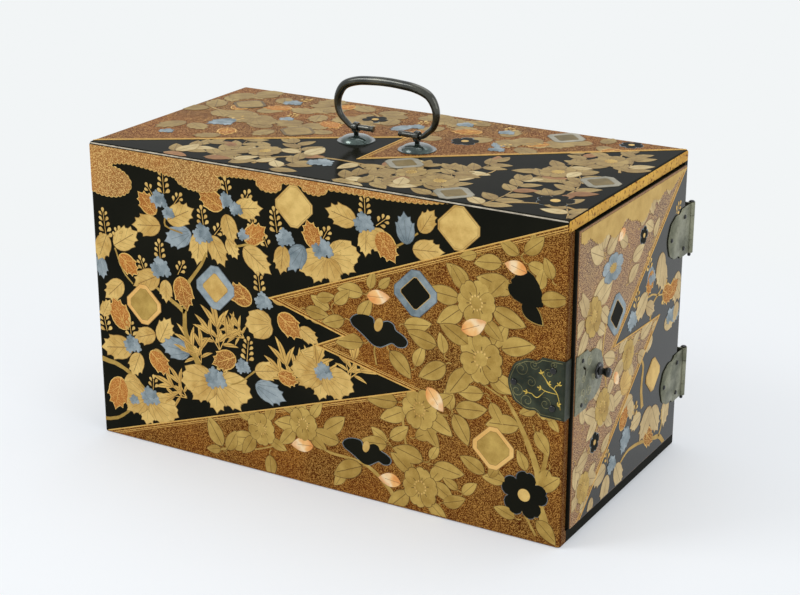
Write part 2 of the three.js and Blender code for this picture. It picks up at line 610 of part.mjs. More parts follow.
// The door's pull knob on its collar, clinched on a washer inside the door
function buildKnob() {
  const group = new THREE.Group();
  const face = DOOR_FACE + PLATE_THICKNESS;
  const collar = turnedAlongX([
    [KNOB_SHANK_RADIUS + FIT, 0], [KNOB_COLLAR_RADIUS, 0], [KNOB_COLLAR_RADIUS, 0.5],
    [KNOB_COLLAR_RADIUS - 0.7, KNOB_COLLAR_THICKNESS], [KNOB_COLLAR_RADIUS - 2, KNOB_COLLAR_THICKNESS * 0.8],
    [KNOB_SHANK_RADIUS + FIT, KNOB_COLLAR_THICKNESS * 0.6], [KNOB_SHANK_RADIUS + FIT, 0],
  ]);
  collar.translate(face, 0, 0);
  add(group, "knob_collar", collar, "bronze");
  const start = KNOB_COLLAR_THICKNESS;
  const tail = -DOOR_THICKNESS - 2 * PLATE_THICKNESS - 1;
  const knob = turnedAlongX([
    [0, tail], [KNOB_SHANK_RADIUS, tail], [KNOB_SHANK_RADIUS, start], [KNOB_NECK_RADIUS + 0.8, start],
    [KNOB_NECK_RADIUS + 0.6, start + 1], [KNOB_NECK_RADIUS, start + 2.6], [KNOB_NECK_RADIUS + 0.2, start + 4],
    [KNOB_HEAD_RADIUS - 0.3, start + 5], [KNOB_HEAD_RADIUS, start + 6],
    [KNOB_HEAD_RADIUS - 0.1, start + KNOB_REACH - 2], [KNOB_HEAD_RADIUS * 0.6, start + KNOB_REACH - 0.7],
    [0, start + KNOB_REACH - 0.4],
  ]);
  knob.translate(face, 0, 0);
  add(group, "door_knob", knob, "dark_bronze");
  const washer = turnedAlongX([
    [KNOB_SHANK_RADIUS + FIT, 0], [KNOB_WASHER_RADIUS, 0], [KNOB_WASHER_RADIUS, WASHER_THICKNESS],
    [KNOB_SHANK_RADIUS + FIT, WASHER_THICKNESS], [KNOB_SHANK_RADIUS + FIT, 0],
  ], 20);
  washer.translate(DOOR_BACK - WASHER_THICKNESS, 0, 0);
  add(group, "knob_washer", washer, "iron");
  group.position.set(0, DOOR_FREE_EDGE + DOOR_PLATE_INSET + KNOB_INSET, LOCK_HEIGHT);
  return group;
}

// Half of the bail's centre line, from its tip by the middle, out through the eye and up to the top
function bailHalf() {
  const eye = EYE_SPACING / 2;
  const reach = BAIL_HALF_WIDTH - eye;
  return [
    [eye - BAIL_TIP_INSET, 0], [eye - BAIL_TIP_INSET / 2, 0], [eye, 0], [eye + 5, 0.2],
    [eye + 0.55 * reach, 0.09 * BAIL_RISE], [eye + 0.86 * reach, 0.22 * BAIL_RISE],
    [BAIL_HALF_WIDTH, 0.42 * BAIL_RISE], [eye + 0.92 * reach, 0.64 * BAIL_RISE],
    [eye + 0.58 * reach, 0.84 * BAIL_RISE], [eye - 2, 0.95 * BAIL_RISE], [0.4 * eye, 0.99 * BAIL_RISE],
  ];
}

function buildBail() {
  const half = bailHalf();
  const ends = [...half, [0, BAIL_RISE], ...half.map(([x, z]) => [-x, z]).reverse()];
  const points = ends.map(([x, z]) => new THREE.Vector3(x, 0, z));
  const curve = new THREE.CatmullRomCurve3(points, false, "centripetal");
  const length = curve.getLength();
  const rings = [];
  for (let step = 0; step <= BAIL_STEPS; step++) {
    const t = step / BAIL_STEPS;
    const fromEnd = Math.min(t, 1 - t) * length;
    const swell = THREE.MathUtils.smoothstep(fromEnd, BAIL_TIP_INSET + 6, length / 2.4);
    const body = BAIL_EYE_RADIUS + (BAIL_GRIP_RADIUS - BAIL_EYE_RADIUS) * swell;
    const cap = BAIL_TIP_RADIUS * (fromEnd < BAIL_TIP_LENGTH / 6 ? 0.75 : 1);
    const radius = fromEnd < BAIL_TIP_LENGTH ? cap : body;
    const centre = curve.getPointAt(t);
    const along = curve.getTangentAt(t);
    const across = new THREE.Vector3(0, 1, 0);
    const outward = new THREE.Vector3().crossVectors(across, along);
    const ring = [];
    for (let j = 0; j < BAIL_SIDES; j++) {
      const angle = 2 * Math.PI * j / BAIL_SIDES;
      const point = centre.clone().addScaledVector(outward, radius * Math.cos(angle))
        .addScaledVector(across, radius * Math.sin(angle));
      ring.push(point.toArray());
    }
    rings.push(ring);
  }
  return loft(rings);
}

// The carrying handle: a bail in two eye posts that pass through rosettes and the top board
function buildHandle() {
  const group = new THREE.Group();
  const bail = add(group, "bail", buildBail(), "bronze");
  bail.position.z = EYE_RISE;
  for (const [name, side] of [["left", -1], ["right", 1]]) {
    const post = new THREE.Group();
    const eye = turnedAlongX([
      [EYE_BORE, -EYE_BREADTH / 2], [EYE_RADIUS - 0.7, -EYE_BREADTH / 2], [EYE_RADIUS, -EYE_BREADTH / 4],
      [EYE_RADIUS - 0.5, 0], [EYE_RADIUS, EYE_BREADTH / 4], [EYE_RADIUS - 0.7, EYE_BREADTH / 2],
      [EYE_BORE, EYE_BREADTH / 2], [EYE_BORE, -EYE_BREADTH / 2],
    ], 24).translate(0, 0, EYE_RISE);
    const underside = -TOP_THICKNESS - WASHER_THICKNESS - CLINCH_THICKNESS;
    const stem = rod(POST_RADIUS, underside, EYE_RISE - EYE_BORE - 0.6);
    const clinch = box([-CLINCH_LENGTH, -CLINCH_WIDTH / 2, underside],
      [CLINCH_LENGTH, CLINCH_WIDTH / 2, underside + CLINCH_THICKNESS - FIT / 2]);
    add(post, `${name}_eye_post`, join(eye, stem, clinch), "bronze");
    const dome = ROSETTE_DOME_RADIUS;
    const rosette = turned([
      [POST_BORE, 0], [ROSETTE_RADIUS, 0], [ROSETTE_RADIUS, ROSETTE_RIM * 0.6],
      [ROSETTE_RADIUS - 0.4, ROSETTE_RIM], [dome + 0.3, ROSETTE_RIM * 0.7], [dome, ROSETTE_RIM + 0.5],
      [0.93 * dome, 0.45 * ROSETTE_DOME_HEIGHT],
      [0.78 * dome, 0.72 * ROSETTE_DOME_HEIGHT], [0.55 * dome, 0.9 * ROSETTE_DOME_HEIGHT],
      [0.32 * dome, ROSETTE_DOME_HEIGHT], [POST_BORE, ROSETTE_DOME_HEIGHT], [POST_BORE, 0],
    ], 36);
    add(post, `${name}_rosette`, rosette, "bronze");
    const washer = turned([
      [POST_BORE, 0], [WASHER_RADIUS, 0], [WASHER_RADIUS, WASHER_THICKNESS],
      [POST_BORE, WASHER_THICKNESS], [POST_BORE, 0],
    ], 20).translate(0, 0, -TOP_THICKNESS - WASHER_THICKNESS);
    add(post, `${name}_post_washer`, washer, "iron");
    post.position.x = side * EYE_SPACING / 2;
    group.add(post);
  }
  group.position.z = CASE_HEIGHT;
  return group;
}

const cabinet = new THREE.Group();
cabinet.add(buildCase());
cabinet.add(buildInterior());
for (let index = 0; index < DRAWER_COUNT; index++) {
  cabinet.add(buildDrawer(index));
}
cabinet.add(buildDoor());
cabinet.add(buildHinge("upper_hinge", CASE_HEIGHT * HINGE_HEIGHTS[0]));
cabinet.add(buildHinge("lower_hinge", CASE_HEIGHT * HINGE_HEIGHTS[1]));
cabinet.add(buildLock());
cabinet.add(buildKnob());
cabinet.add(buildHandle());

export default cabinet;
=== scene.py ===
"""Looks of a portable lacquer cabinet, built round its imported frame.

The boards keep their shapes and get lacquer grounds: black and gold-flaked areas that meet in a
lightning-bolt line. Leaves, flowers, clouds, cartouches and gold lines are thin raised plates on
them. The metal fittings are smoothed copies or new pieces, with rivets and gilt scrolls.
Sizes are in millimetres, and in metres where a docstring says so.
"""

import logging
import math
from contextlib import contextmanager
from dataclasses import dataclass, field
from enum import Enum
from functools import partial
from typing import Callable, Iterable, Iterator, Sequence

import bpy
from mathutils import Matrix, Vector


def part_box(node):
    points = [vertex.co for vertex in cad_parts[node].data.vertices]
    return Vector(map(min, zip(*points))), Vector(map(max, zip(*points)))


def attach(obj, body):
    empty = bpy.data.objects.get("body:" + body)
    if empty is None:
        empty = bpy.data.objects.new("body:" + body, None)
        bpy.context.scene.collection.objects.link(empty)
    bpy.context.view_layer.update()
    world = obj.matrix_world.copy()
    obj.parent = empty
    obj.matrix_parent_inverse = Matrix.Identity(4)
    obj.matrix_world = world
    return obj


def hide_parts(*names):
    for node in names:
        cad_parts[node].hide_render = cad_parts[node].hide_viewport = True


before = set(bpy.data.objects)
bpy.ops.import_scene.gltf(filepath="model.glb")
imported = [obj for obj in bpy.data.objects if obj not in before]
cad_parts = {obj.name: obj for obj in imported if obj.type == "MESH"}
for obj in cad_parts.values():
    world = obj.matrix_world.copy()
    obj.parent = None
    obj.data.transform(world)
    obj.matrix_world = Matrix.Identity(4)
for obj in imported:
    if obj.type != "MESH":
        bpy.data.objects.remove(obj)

log = logging.getLogger("cabinet")

MM = 0.001
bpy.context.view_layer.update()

Piece = bpy.types.Object
Socket = bpy.types.NodeSocket
Point = tuple[float, float]
Place = tuple[float, float, float]
Colour = tuple[float, float, float]
Spot = tuple[float, float, float, float]


def tint(*values: int) -> Colour:
    """A scene colour from the three display values of a tone, 0 to 255."""
    shares = [value / 255 for value in values]
    return tuple(s / 12.92 if s <= 0.04045 else ((s + 0.055) / 1.055) ** 2.4 for s in shares)


def low(node: str, axis: int) -> float:
    """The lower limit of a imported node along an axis, in millimetres."""
    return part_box(node)[0][axis] / MM


def high(node: str, axis: int) -> float:
    """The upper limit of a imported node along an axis, in millimetres."""
    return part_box(node)[1][axis] / MM


def middle(node: str, axis: int) -> float:
    """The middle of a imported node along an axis, in millimetres."""
    return (low(node, axis) + high(node, axis)) / 2


class Veins(Enum):
    """How the drawn lines run over a painted motif."""

    NONE = "none"
    FAN = "fan"
    FEATHER = "feather"
    MIDRIB = "midrib"
    PETALS = "petals"


class Slot(Enum):
    """The record's material slots, passed along with new pieces but not read."""

    LACQUER = "lacquer"
    BRONZE = "bronze"
    DARK_BRONZE = "dark_bronze"


# ---- Shader maths ----


def maths(operation: str, swapped: bool = False) -> Callable[..., "Value"]:
    """A method of Value that adds one Math node.

    Args:
        operation: What the node works out.
        swapped: Whether the value itself comes last.

    Returns:
        The method.
    """
    def method(self: "Value", *others: "Value | float") -> "Value":
        """Adds the node on this value and the others.

        Args:
            others: Its other terms.

        Returns:
            What the node gives.
        """
        terms = [*others, self] if swapped else [self, *others]
        node = self.graph.node("ShaderNodeMath", {"operation": operation}, dict(enumerate(terms)))
        return Value(self.graph, node.outputs[0])
    return method


class Value:
    """A number in a material that Python expressions can be written on.

    A comparison gives 1 where it holds and 0 elsewhere. The angle is that of a rise over a run, in
    radians, and the fraction is what is left after the whole number.
    """

    def __init__(self, graph: "Graph", socket: Socket) -> None:
        """Keeps the node socket that carries the number."""
        self.graph = graph
        self.socket = socket

    __add__ = __radd__ = maths("ADD")
    __sub__ = maths("SUBTRACT")
    __rsub__ = maths("SUBTRACT", swapped=True)
    __mul__ = __rmul__ = maths("MULTIPLY")
    __abs__ = maths("ABSOLUTE")
    __gt__ = maths("GREATER_THAN")
    __lt__ = maths("LESS_THAN")
    least = maths("MINIMUM")
    most = maths("MAXIMUM")
    fraction = maths("FRACT")
    root = maths("SQRT")
    angle = maths("ARCTAN2")

    def __neg__(self) -> "Value":
        """Negative."""
        return self * -1.0

    def ramp(self, low: float, high: float, start: float = 0.0, end: float = 1.0) -> "Value":
        """A straight, clamped change from start to end as this value goes from low to high.

        Args:
            low: Where the change begins.
            high: Where it is done.
            start: The number before it.
            end: The number after it.

        Returns:
            The changing number.
        """
        node = self.graph.node("ShaderNodeMapRange", {"clamp": True},
                               {0: self, 1: low, 2: high, 3: start, 4: end})
        return Value(self.graph, node.outputs[0])


class Graph:
    """The node tree of a material or of the world."""

    def __init__(self, tree: bpy.types.NodeTree) -> None:
        """Keeps the tree."""
        self.tree = tree

    def feed(self, socket: Socket, value: object) -> None:
        """Links a value or socket to an input, or writes a constant on it.

        Args:
            socket: The input.
            value: A value, socket, colour or number.
        """
        if isinstance(value, Value):
            value = value.socket
        if isinstance(value, Socket):
            self.tree.links.new(value, socket)
        elif isinstance(value, tuple) and socket.type == "RGBA":
            socket.default_value = (*value, 1.0)
        else:
            socket.default_value = value

    def node(self, kind: str, settings: dict | None = None, inputs: dict | None = None) -> bpy.types.Node:
        """Adds one node.

        Args:
            kind: The node's type.
            settings: Its own settings, set before the inputs; "stops" fills a colour ramp.
            inputs: What each input gets, by its index or name.

        Returns:
            The new node.
        """
        made = self.tree.nodes.new(kind)
        for key, value in (settings or {}).items():
            if key != "stops":
                setattr(made, key, value)
                continue
            elements = made.color_ramp.elements
            while len(elements) < len(value):
                elements.new(1.0)
            for element, (place, colour) in zip(elements, value):
                element.position = place
                element.color = (*colour, 1.0)
        for key, value in (inputs or {}).items():
            self.feed(made.inputs[key], value)
        return made

    def mix(self, share: "Value | float", first: "Socket | Colour",
            second: "Socket | Colour") -> Socket:
        """The first colour, going to the second as share goes from 0 to 1."""
        made = self.node("ShaderNodeMix", {"data_type": "RGBA"}, {0: share, 6: first, 7: second})
        return made.outputs[2]

    def seen(self) -> Value:
        """1 where the camera sees it, by itself, in a polished surface or through glass, otherwise 0.

        Returns:
            The mask.
        """
        rays = self.node("ShaderNodeLightPath").outputs
        whole = Value(self, rays["Is Camera Ray"])
        for ray in ("Is Glossy Ray", "Is Transmission Ray"):
            whole = whole.most(Value(self, rays[ray]))
        return whole


class Shader(Graph):
    """The node tree of one material."""

    def __init__(self, name: str) -> None:
        """Makes the named material with its Principled shader.

        Args:
            name: The material's name.
        """
        self.material = bpy.data.materials.new(name)
        self.material.use_nodes = True
        super().__init__(self.material.node_tree)
        self.surface = self.tree.nodes["Principled BSDF"]
        self._coordinates: bpy.types.Node | None = None

    def coordinates(self, output: str) -> Socket:
        """One output of the material's Texture Coordinate node, which is added once.

        Args:
            output: Its name.

        Returns:
            Its socket.
        """
        if self._coordinates is None:
            self._coordinates = self.node("ShaderNodeTexCoord")
        return self._coordinates.outputs[output]

    def axes(self, socket: Socket) -> tuple[Value, Value, Value]:
        """The three numbers of a vector."""
        parts = self.node("ShaderNodeSeparateXYZ", None, {0: socket}).outputs
        return Value(self, parts[0]), Value(self, parts[1]), Value(self, parts[2])

    def place(self) -> tuple[Value, Value, Value]:
        """The point on the piece, in metres."""
        return self.axes(self.coordinates("Object"))

    def motif(self) -> tuple[Value, Value]:
        """The point on a motif, from 0 at its base to 1 at its tip, and 0.5 at its middle line."""
        u, v, _ = self.axes(self.node("ShaderNodeUVMap", {"uv_map": "motif"}).outputs[0])
        return u, v

    def number(self, attribute: str) -> Value:
        """A number that the mesh carries."""
        return Value(self, self.node("ShaderNodeAttribute", {"attribute_name": attribute}).outputs["Fac"])

    def noise(self, size: float, detail: float, stretch: Place = (1.0, 1.0, 1.0)) -> Value:
        """Soft noise from 0 to 1 with features of the given size in millimetres.

        Args:
            size: The size of its features.
            detail: How many finer layers it has.
            stretch: How much it is squeezed along each axis.

        Returns:
            The noise.
        """
        spot = self.node("ShaderNodeMapping", None,
                         {"Vector": self.coordinates("Object"), "Scale": stretch})
        made = self.node("ShaderNodeTexNoise", None,
                         {"Vector": spot.outputs[0], "Scale": 1.0 / (size * MM), "Detail": detail})
        return Value(self, made.outputs[0])

    def cells(self, size: float) -> tuple[Value, Value, Value]:
        """Small grains of the given size in millimetres.

        Args:
            size: The size of a grain.

        Returns:
            Distance from the grain's middle in grain sizes, and two random numbers of the grain.
        """
        made = self.node("ShaderNodeTexVoronoi", None,
                         {"Vector": self.coordinates("Object"), "Scale": 1.0 / (size * MM)})
        first, second, _ = self.axes(made.outputs["Color"])
        return Value(self, made.outputs["Distance"]), first, second

    def bump(self, height: Value, distance: float) -> Socket:
        """A normal from a height pattern.

        Args:
            height: The pattern.
            distance: The depth of its relief, in millimetres.

        Returns:
            The normal.
        """
        made = self.node("ShaderNodeBump", None,
                         {"Strength": 1.0, "Distance": distance * MM, "Height": height})
        return made.outputs[0]

    def finish(self, **inputs: object) -> bpy.types.Material:
        """Feeds the Principled shader, by its input names with _ for each space.

        Args:
            inputs: What each input gets.

        Returns:
            The finished material.
        """
        for key, value in inputs.items():
            self.feed(self.surface.inputs[key.replace("_", " ")], value)
        return self.material


# ---- The grounds ----


@dataclass(frozen=True)
class Zigzag:
    """A lightning-bolt line across a face, in millimetres; black lies on its left.

    Attributes:
        points: The line's corners in order.
        areas: The black ground as convex areas, each given by the line's stretches that bound it.
    """

    points: tuple[Point, ...]
    areas: tuple[tuple[int, ...], ...]

    def left(self, stretch: int, u: "Value | float", v: "Value | float") -> "Value | float":
        """How far a point lies to the left of one stretch, in metres.

        Args:
            stretch: The stretch's number.
            u: The point's first coordinate, in metres.
            v: Its second coordinate.

        Returns:
            The distance, negative on the right.
        """
        start, end = self.points[stretch], self.points[stretch + 1]
        run, rise = end[0] - start[0], end[1] - start[1]
        length = math.hypot(run, rise)
        return (v - start[1] * MM) * (run / length) - (u - start[0] * MM) * (rise / length)

    def black(self, u: Value, v: Value) -> Value:
        """1 on the black ground and 0 on the gold-flaked one.

        Args:
            u: The point's first coordinate, in metres.
            v: Its second coordinate.

        Returns:
            The mask.
        """
        whole = None
        for area in self.areas:
            part = self.left(area[0], u, v)
            for stretch in area[1:]:
                part = part.least(self.left(stretch, u, v))
            whole = part if whole is None else whole.most(part)
        return whole > 0.0

    def crossings(self, base: Point, tips: Iterable[Point]) -> list[int]:
        """The stretches that lie between a motif's base and any of its other points."""
        return [k for k, (start, end) in enumerate(zip(self.points, self.points[1:]))
                if any(segments_cross(base, tip, start, end) for tip in tips)]


def doubled_area(p: Point, q: Point, r: Point) -> float:
    """Twice the signed area of a triangle."""
    return (q[0] - p[0]) * (r[1] - p[1]) - (q[1] - p[1]) * (r[0] - p[0])


def segments_cross(a: Point, b: Point, c: Point, d: Point) -> bool:
    """Whether the segment a-b meets the segment c-d."""
    return (doubled_area(a, b, c) * doubled_area(a, b, d) < 0
            and doubled_area(c, d, a) * doubled_area(c, d, b) < 0)


FRONT_LINE = Zigzag(((-227, 0), (95, 107), (2, 128), (29, 141), (-43, 161), (227, 267)),
                    ((0, 4), (0, 3, 2), (0, 1)))
TOP_LINE = Zigzag(((227, 115), (2, -50), (2, 30), (-227, -113)), ((0,), (1, 2)))
DOOR_LINE = Zigzag(((106, 259), (-33, 143), (60, 140), (-100, 5)), ((2,), (0, 1)))


@dataclass(frozen=True)
class Flakes:
    """Gold flakes strewn in clear brown lacquer.

    Attributes:
        ground: The brown between the flakes.
        flake: The flakes' gold.
        size: The grain's size in millimetres.
        cover: The share of the ground that flakes hide.
    """

    ground: Colour = tint(100, 50, 19)
    flake: Colour = tint(202, 154, 78)
    size: float = 0.78
    cover: float = 0.52

    WARM = (0.62, 0.45, 0.25)
    DIM = 0.6
    DEEP = 0.62

    def lay(self, shader: Shader) -> tuple[Socket, Value]:
        """Adds the pattern.

        Args:
            shader: The material's shader.

        Returns:
            The colour, and 1 where a flake lies.
        """
        drift = shader.noise(70.0, detail=2.0).ramp(0.36, 0.66)
        cloud = shader.noise(28.0, detail=2.0).ramp(0.35, 0.7, -0.12, 0.12)
        distance, chance, tone = shader.cells(self.size)
        fine, fine_chance, _ = shader.cells(self.size * 0.5)
        large = (chance < cloud + self.cover) * (distance < 0.52)
        small = (fine_chance < 0.3) * (fine < 0.5)
        flake = large.most(small)
        warm = tuple(part * share for part, share in zip(self.flake, self.WARM))
        dim = tuple(part * self.DIM for part in self.flake)
        gold = shader.mix(tone, shader.mix(drift, warm, dim), self.flake)
        depth = shader.mix(drift, self.ground, tuple(part * self.DEEP for part in self.ground))
        return shader.mix(flake, depth, gold), flake


@dataclass(frozen=True)
class Finish:
    """A finish that makes one material; the material is made once and shared.

    Attributes:
        name: The material's name.
    """

    name: str

    def material(self) -> bpy.types.Material:
        """The finish's material."""
        return bpy.data.materials.get(self.name) or self.build(Shader(self.name))

    def build(self, shader: Shader) -> bpy.types.Material:
        """Fills the shader and returns its material."""
        raise NotImplementedError


BLACK = tint(15, 17, 14)
BLACK_WARM = tint(33, 32, 24)
SHEEN = 0.008
DOOR_SHEEN = 0.22


def lacquer_black(shader: Shader) -> Socket:
    """The black of a ground, a little warmer in places."""
    return shader.mix(shader.noise(60.0, detail=3.0), BLACK, BLACK_WARM)


def lacquer(shader: Shader, colour: Socket, flake: "Value | float" = 0.0,
            sheen: float = SHEEN) -> bpy.types.Material:
    """Finishes a ground of polished lacquer.

    Args:
        shader: The material's shader.
        colour: The ground's colour.
        flake: 1 where a metal flake lies.
        sheen: How strongly the clear lacquer reflects.

    Returns:
        The finished material.
    """
    rough = shader.noise(5.0, detail=4.0).ramp(0.3, 0.75, 0.1, 0.18)
    normal = shader.bump(shader.noise(24.0, detail=2.0), distance=0.05)
    return shader.finish(Base_Color=colour, Roughness=rough + flake * 0.2, Metallic=flake * 0.4,
                         Normal=normal, Specular_IOR_Level=sheen)


@dataclass(frozen=True)
class CaseGround(Finish):
    """The lacquer of the case's five boards, told apart by place.

    Attributes:
        edge: How far in from a face its rounded edge is shared between two faces, in millimetres.
        lid: How far down the top's ground reaches.
        rail: The height of the door end's top rail.
        worn: The height of the painted highlight line along the top edge of the long sides.
    """

    edge: float = 0.88
    lid: float = 0.7
    rail: float = 9.0
    worn: float = 1.5

    def build(self, shader: Shader) -> bpy.types.Material:
        """Fills the shader and returns its material.

        Args:
            shader: The material's shader.

        Returns:
            The finished material.
        """
        x, y, z = shader.place()
        long, wide = high("front_side_board", 0), high("back_side_board", 1)
        height, stile = high("top_board", 2), low("door_panel", 1)
        front = y < (self.edge - wide) * MM
        back = y > (wide - self.edge) * MM
        upright = (1.0 - front) * (1.0 - back)
        top = (z > (height - self.lid) * MM) * upright
        end = (x > (long - self.edge) * MM) * upright * (1.0 - top)
        far = (x < (self.edge - long) * MM) * upright * (1.0 - top)
        rail = end * (z > (height - self.rail) * MM)
        post = end * (y < stile * MM) * (1.0 - rail)
        flaked = (front * (1.0 - FRONT_LINE.black(x, z)) + back * (1.0 - FRONT_LINE.black(-x, z))
                  + top * (1.0 - TOP_LINE.black(x, y)) + far * (1.0 - DOOR_LINE.black(-y, z))
                  + post + rail).least(1.0)
        colour, flake = Flakes().lay(shader)
        specks = shader.noise(2.6, detail=3.0).ramp(0.56, 0.66)
        streak = shader.noise(26.0, detail=3.0).ramp(0.35, 0.7)
        gold = shader.mix(streak, tint(214, 168, 78), tint(188, 140, 62))
        colour = shader.mix(rail, colour, shader.mix(specks, gold, tint(112, 66, 26)))
        colour = shader.mix(post * 0.5, colour, tint(58, 26, 12))
        ground = shader.mix(flaked, lacquer_black(shader), colour)
        # A pale mottled line along the top edge of the front and back: a painted highlight on the rounded
        # arris.
        arris = (z > (height - self.worn) * MM) * front.most(back)
        rubbed = arris * shader.noise(9.0, detail=4.0).ramp(0.3, 0.6, 0.45, 0.95)
        return lacquer(shader, shader.mix(rubbed, ground, tint(196, 186, 166)), flake * flaked)


@dataclass(frozen=True)
class DoorGround(Finish):
    """The lacquer of the door panel: a divided face in a thin brown arris, black edges and back.

    Attributes:
        arris: The width of the worn line round the face, in millimetres.
        depth: How far in the face's ground reaches.
        tone: The flakes, a little paler than the case's.
    """

    arris: float = 0.9
    depth: float = 0.5
    tone: Flakes = Flakes(ground=tint(110, 66, 34), flake=tint(204, 164, 104))

    def build(self, shader: Shader) -> bpy.types.Material:
        """Fills the shader and returns its material.

        Args:
            shader: The material's shader.

        Returns:
            The finished material.
        """
        x, y, z = shader.place()
        outer = x > (high("door_panel", 0) - self.depth) * MM
        flaked = outer * (1.0 - DOOR_LINE.black(y, z))
        colour, flake = self.tone.lay(shader)
        ground = shader.mix(flaked, lacquer_black(shader), colour)
        rim = 0.0
        for axis, here in ((1, y), (2, z)):
            near = (here < (low("door_panel", axis) + self.arris) * MM).most(
                here > (high("door_panel", axis) - self.arris) * MM)
            rim = near.most(rim)
        wear = outer * rim * shader.noise(6.0, detail=3.0).ramp(0.35, 0.6, 0.35, 0.9)
        return lacquer(shader, shader.mix(wear, ground, tint(140, 96, 58)), flake * flaked, DOOR_SHEEN)


@dataclass(frozen=True)
class FlakedLacquer(Finish):
    """Gold-flaked lacquer all over a piece, such as a cloud, a leaf or a drawer front.

    Attributes:
        flakes: The flakes strewn in it.
    """

    flakes: Flakes = Flakes()

    def build(self, shader: Shader) -> bpy.types.Material:
        """Fills the shader and returns its material."""
        return lacquer(shader, *self.flakes.lay(shader))


@dataclass(frozen=True)
class BlackLacquer(Finish):
    """Plain black lacquer with a warm depth."""

    def build(self, shader: Shader) -> bpy.types.Material:
        """Fills the shader and returns its material."""
        return lacquer(shader, lacquer_black(shader))


@dataclass(frozen=True)
class InnerLacquer(Finish):
    """Thin dark brown lacquer over the wood inside, with its grain along the case."""

    def build(self, shader: Shader) -> bpy.types.Material:
        """Fills the shader and returns its material.

        Args:
            shader: The material's shader.

        Returns:
            The finished material.
        """
        grain = shader.noise(5.0, detail=5.0, stretch=(0.05, 1.0, 1.0))
        colour = shader.mix(grain.ramp(0.38, 0.64), tint(44, 23, 14), tint(96, 54, 30))
        return shader.finish(Base_Color=colour, Roughness=grain.ramp(0.3, 0.8, 0.34, 0.46),
                             Normal=shader.bump(grain, distance=0.05), Specular_IOR_Level=0.2)


# ---- Painted and metal finishes ----


@dataclass(frozen=True)
class Powder(Finish):
    """Metal powder sprinkled on wet lacquer and polished, with lines drawn in lacquer.

    Attributes:
        bright: The fresh powder's colour.
        worn: The colour where it is rubbed or tarnished.
        line: The colour of the drawn lines.
        veins: How the drawn lines run.
        metal: How metallic the powder looks.
        wear: The share of the surface that is worn.
        outlined: How strong the dark line round each motif is.
    """

    bright: Colour = tint(224, 190, 114)
    worn: Colour = tint(188, 148, 76)
    line: Colour = tint(92, 56, 22)
    veins: Veins = Veins.NONE
    metal: float = 0.4
    wear: float = 0.4
    outlined: float = 0.6

    FAN_STEP = 0.34

    def lines(self, u: Value, v: Value) -> "Value | float":
        """1 on the drawn lines, from the point on the motif with its base at 0 and its tip at 1.

        Args:
            u: How far along the motif, from its base at 0 to its tip at 1.
            v: How far from its middle line.

        Returns:
            The mask.
        """
        if self.veins is Veins.NONE:
            return 0.0
        if self.veins is Veins.PETALS:
            return (abs(v) < 0.022) * (u > 0.3) * (u < 0.52)
        rib = (abs(v) < 0.011) * (u < 0.86)
        if self.veins is Veins.MIDRIB:
            return rib
        if self.veins is Veins.FEATHER:
            side = abs(((u - abs(v) * 1.25) * 4.6 + 0.2).fraction() - 0.5)
            return rib.most((side < 0.036) * (abs(v) < 0.23) * (u > 0.16) * (u < 0.78) * 0.75)
        reach = (u * u + v * v).root()
        turn = v.angle(u + 0.04) * (1.0 / self.FAN_STEP) + 8.5
        ray = abs(turn.fraction() - 0.5) * self.FAN_STEP * reach
        return (ray < 0.008) * (reach < 0.8) * (reach > 0.1) * 0.6

    def build(self, shader: Shader) -> bpy.types.Material:
        """Fills the shader and returns its material.

        Args:
            shader: The material's shader.

        Returns:
            The finished material.
        """
        tone = shader.number("tone")
        edge = shader.number("rim") > 0.3
        u, v = shader.motif()
        patch = shader.noise(9.0, detail=3.0)
        grain = shader.noise(0.8, detail=2.0)
        wear = (patch + tone * 0.3 - 0.15).ramp(0.62 - self.wear, 0.98 - self.wear * 0.5)
        wear = (wear + (grain - 0.5) * 0.6 + (0.45 - u) * 0.35).ramp(0.0, 1.0)
        drawn = edge * self.outlined
        lines = self.lines(u, v - 0.5)
        if isinstance(lines, Value):
            drawn = drawn.most(lines * 0.7)
        colour = shader.mix(drawn, shader.mix(wear, self.bright, self.worn), self.line)
        return shader.finish(Base_Color=colour, Metallic=self.metal, Specular_IOR_Level=0.2,
                             Roughness=grain.ramp(0.2, 0.8, 0.4, 0.56))


@dataclass(frozen=True)
class Shell(Finish):
    """Inlaid shell with a pink and amber play of colour."""

    def build(self, shader: Shader) -> bpy.types.Material:
        """Fills the shader and returns its material.

        Args:
            shader: The material's shader.

        Returns:
            The finished material.
        """
        u, v = shader.motif()
        play = u + (shader.noise(7.0, detail=2.0) - 0.5) * 0.7 + (v - 0.5) * 0.5
        colour = shader.node("ShaderNodeValToRGB", {"stops": (
            (0.1, tint(224, 150, 74)), (0.38, tint(238, 184, 112)), (0.64, tint(242, 214, 168)),
            (0.9, tint(226, 168, 106)))}, {0: play}).outputs[0]
        drawn = (abs(v - 0.5) < 0.012) * (u < 0.7)
        colour = shader.mix(drawn.most(shader.number("rim") > 0.3) * 0.6, colour, tint(120, 70, 34))
        return shader.finish(Base_Color=colour, Roughness=play.ramp(0.2, 0.8, 0.2, 0.36),
                             Specular_IOR_Level=0.4)


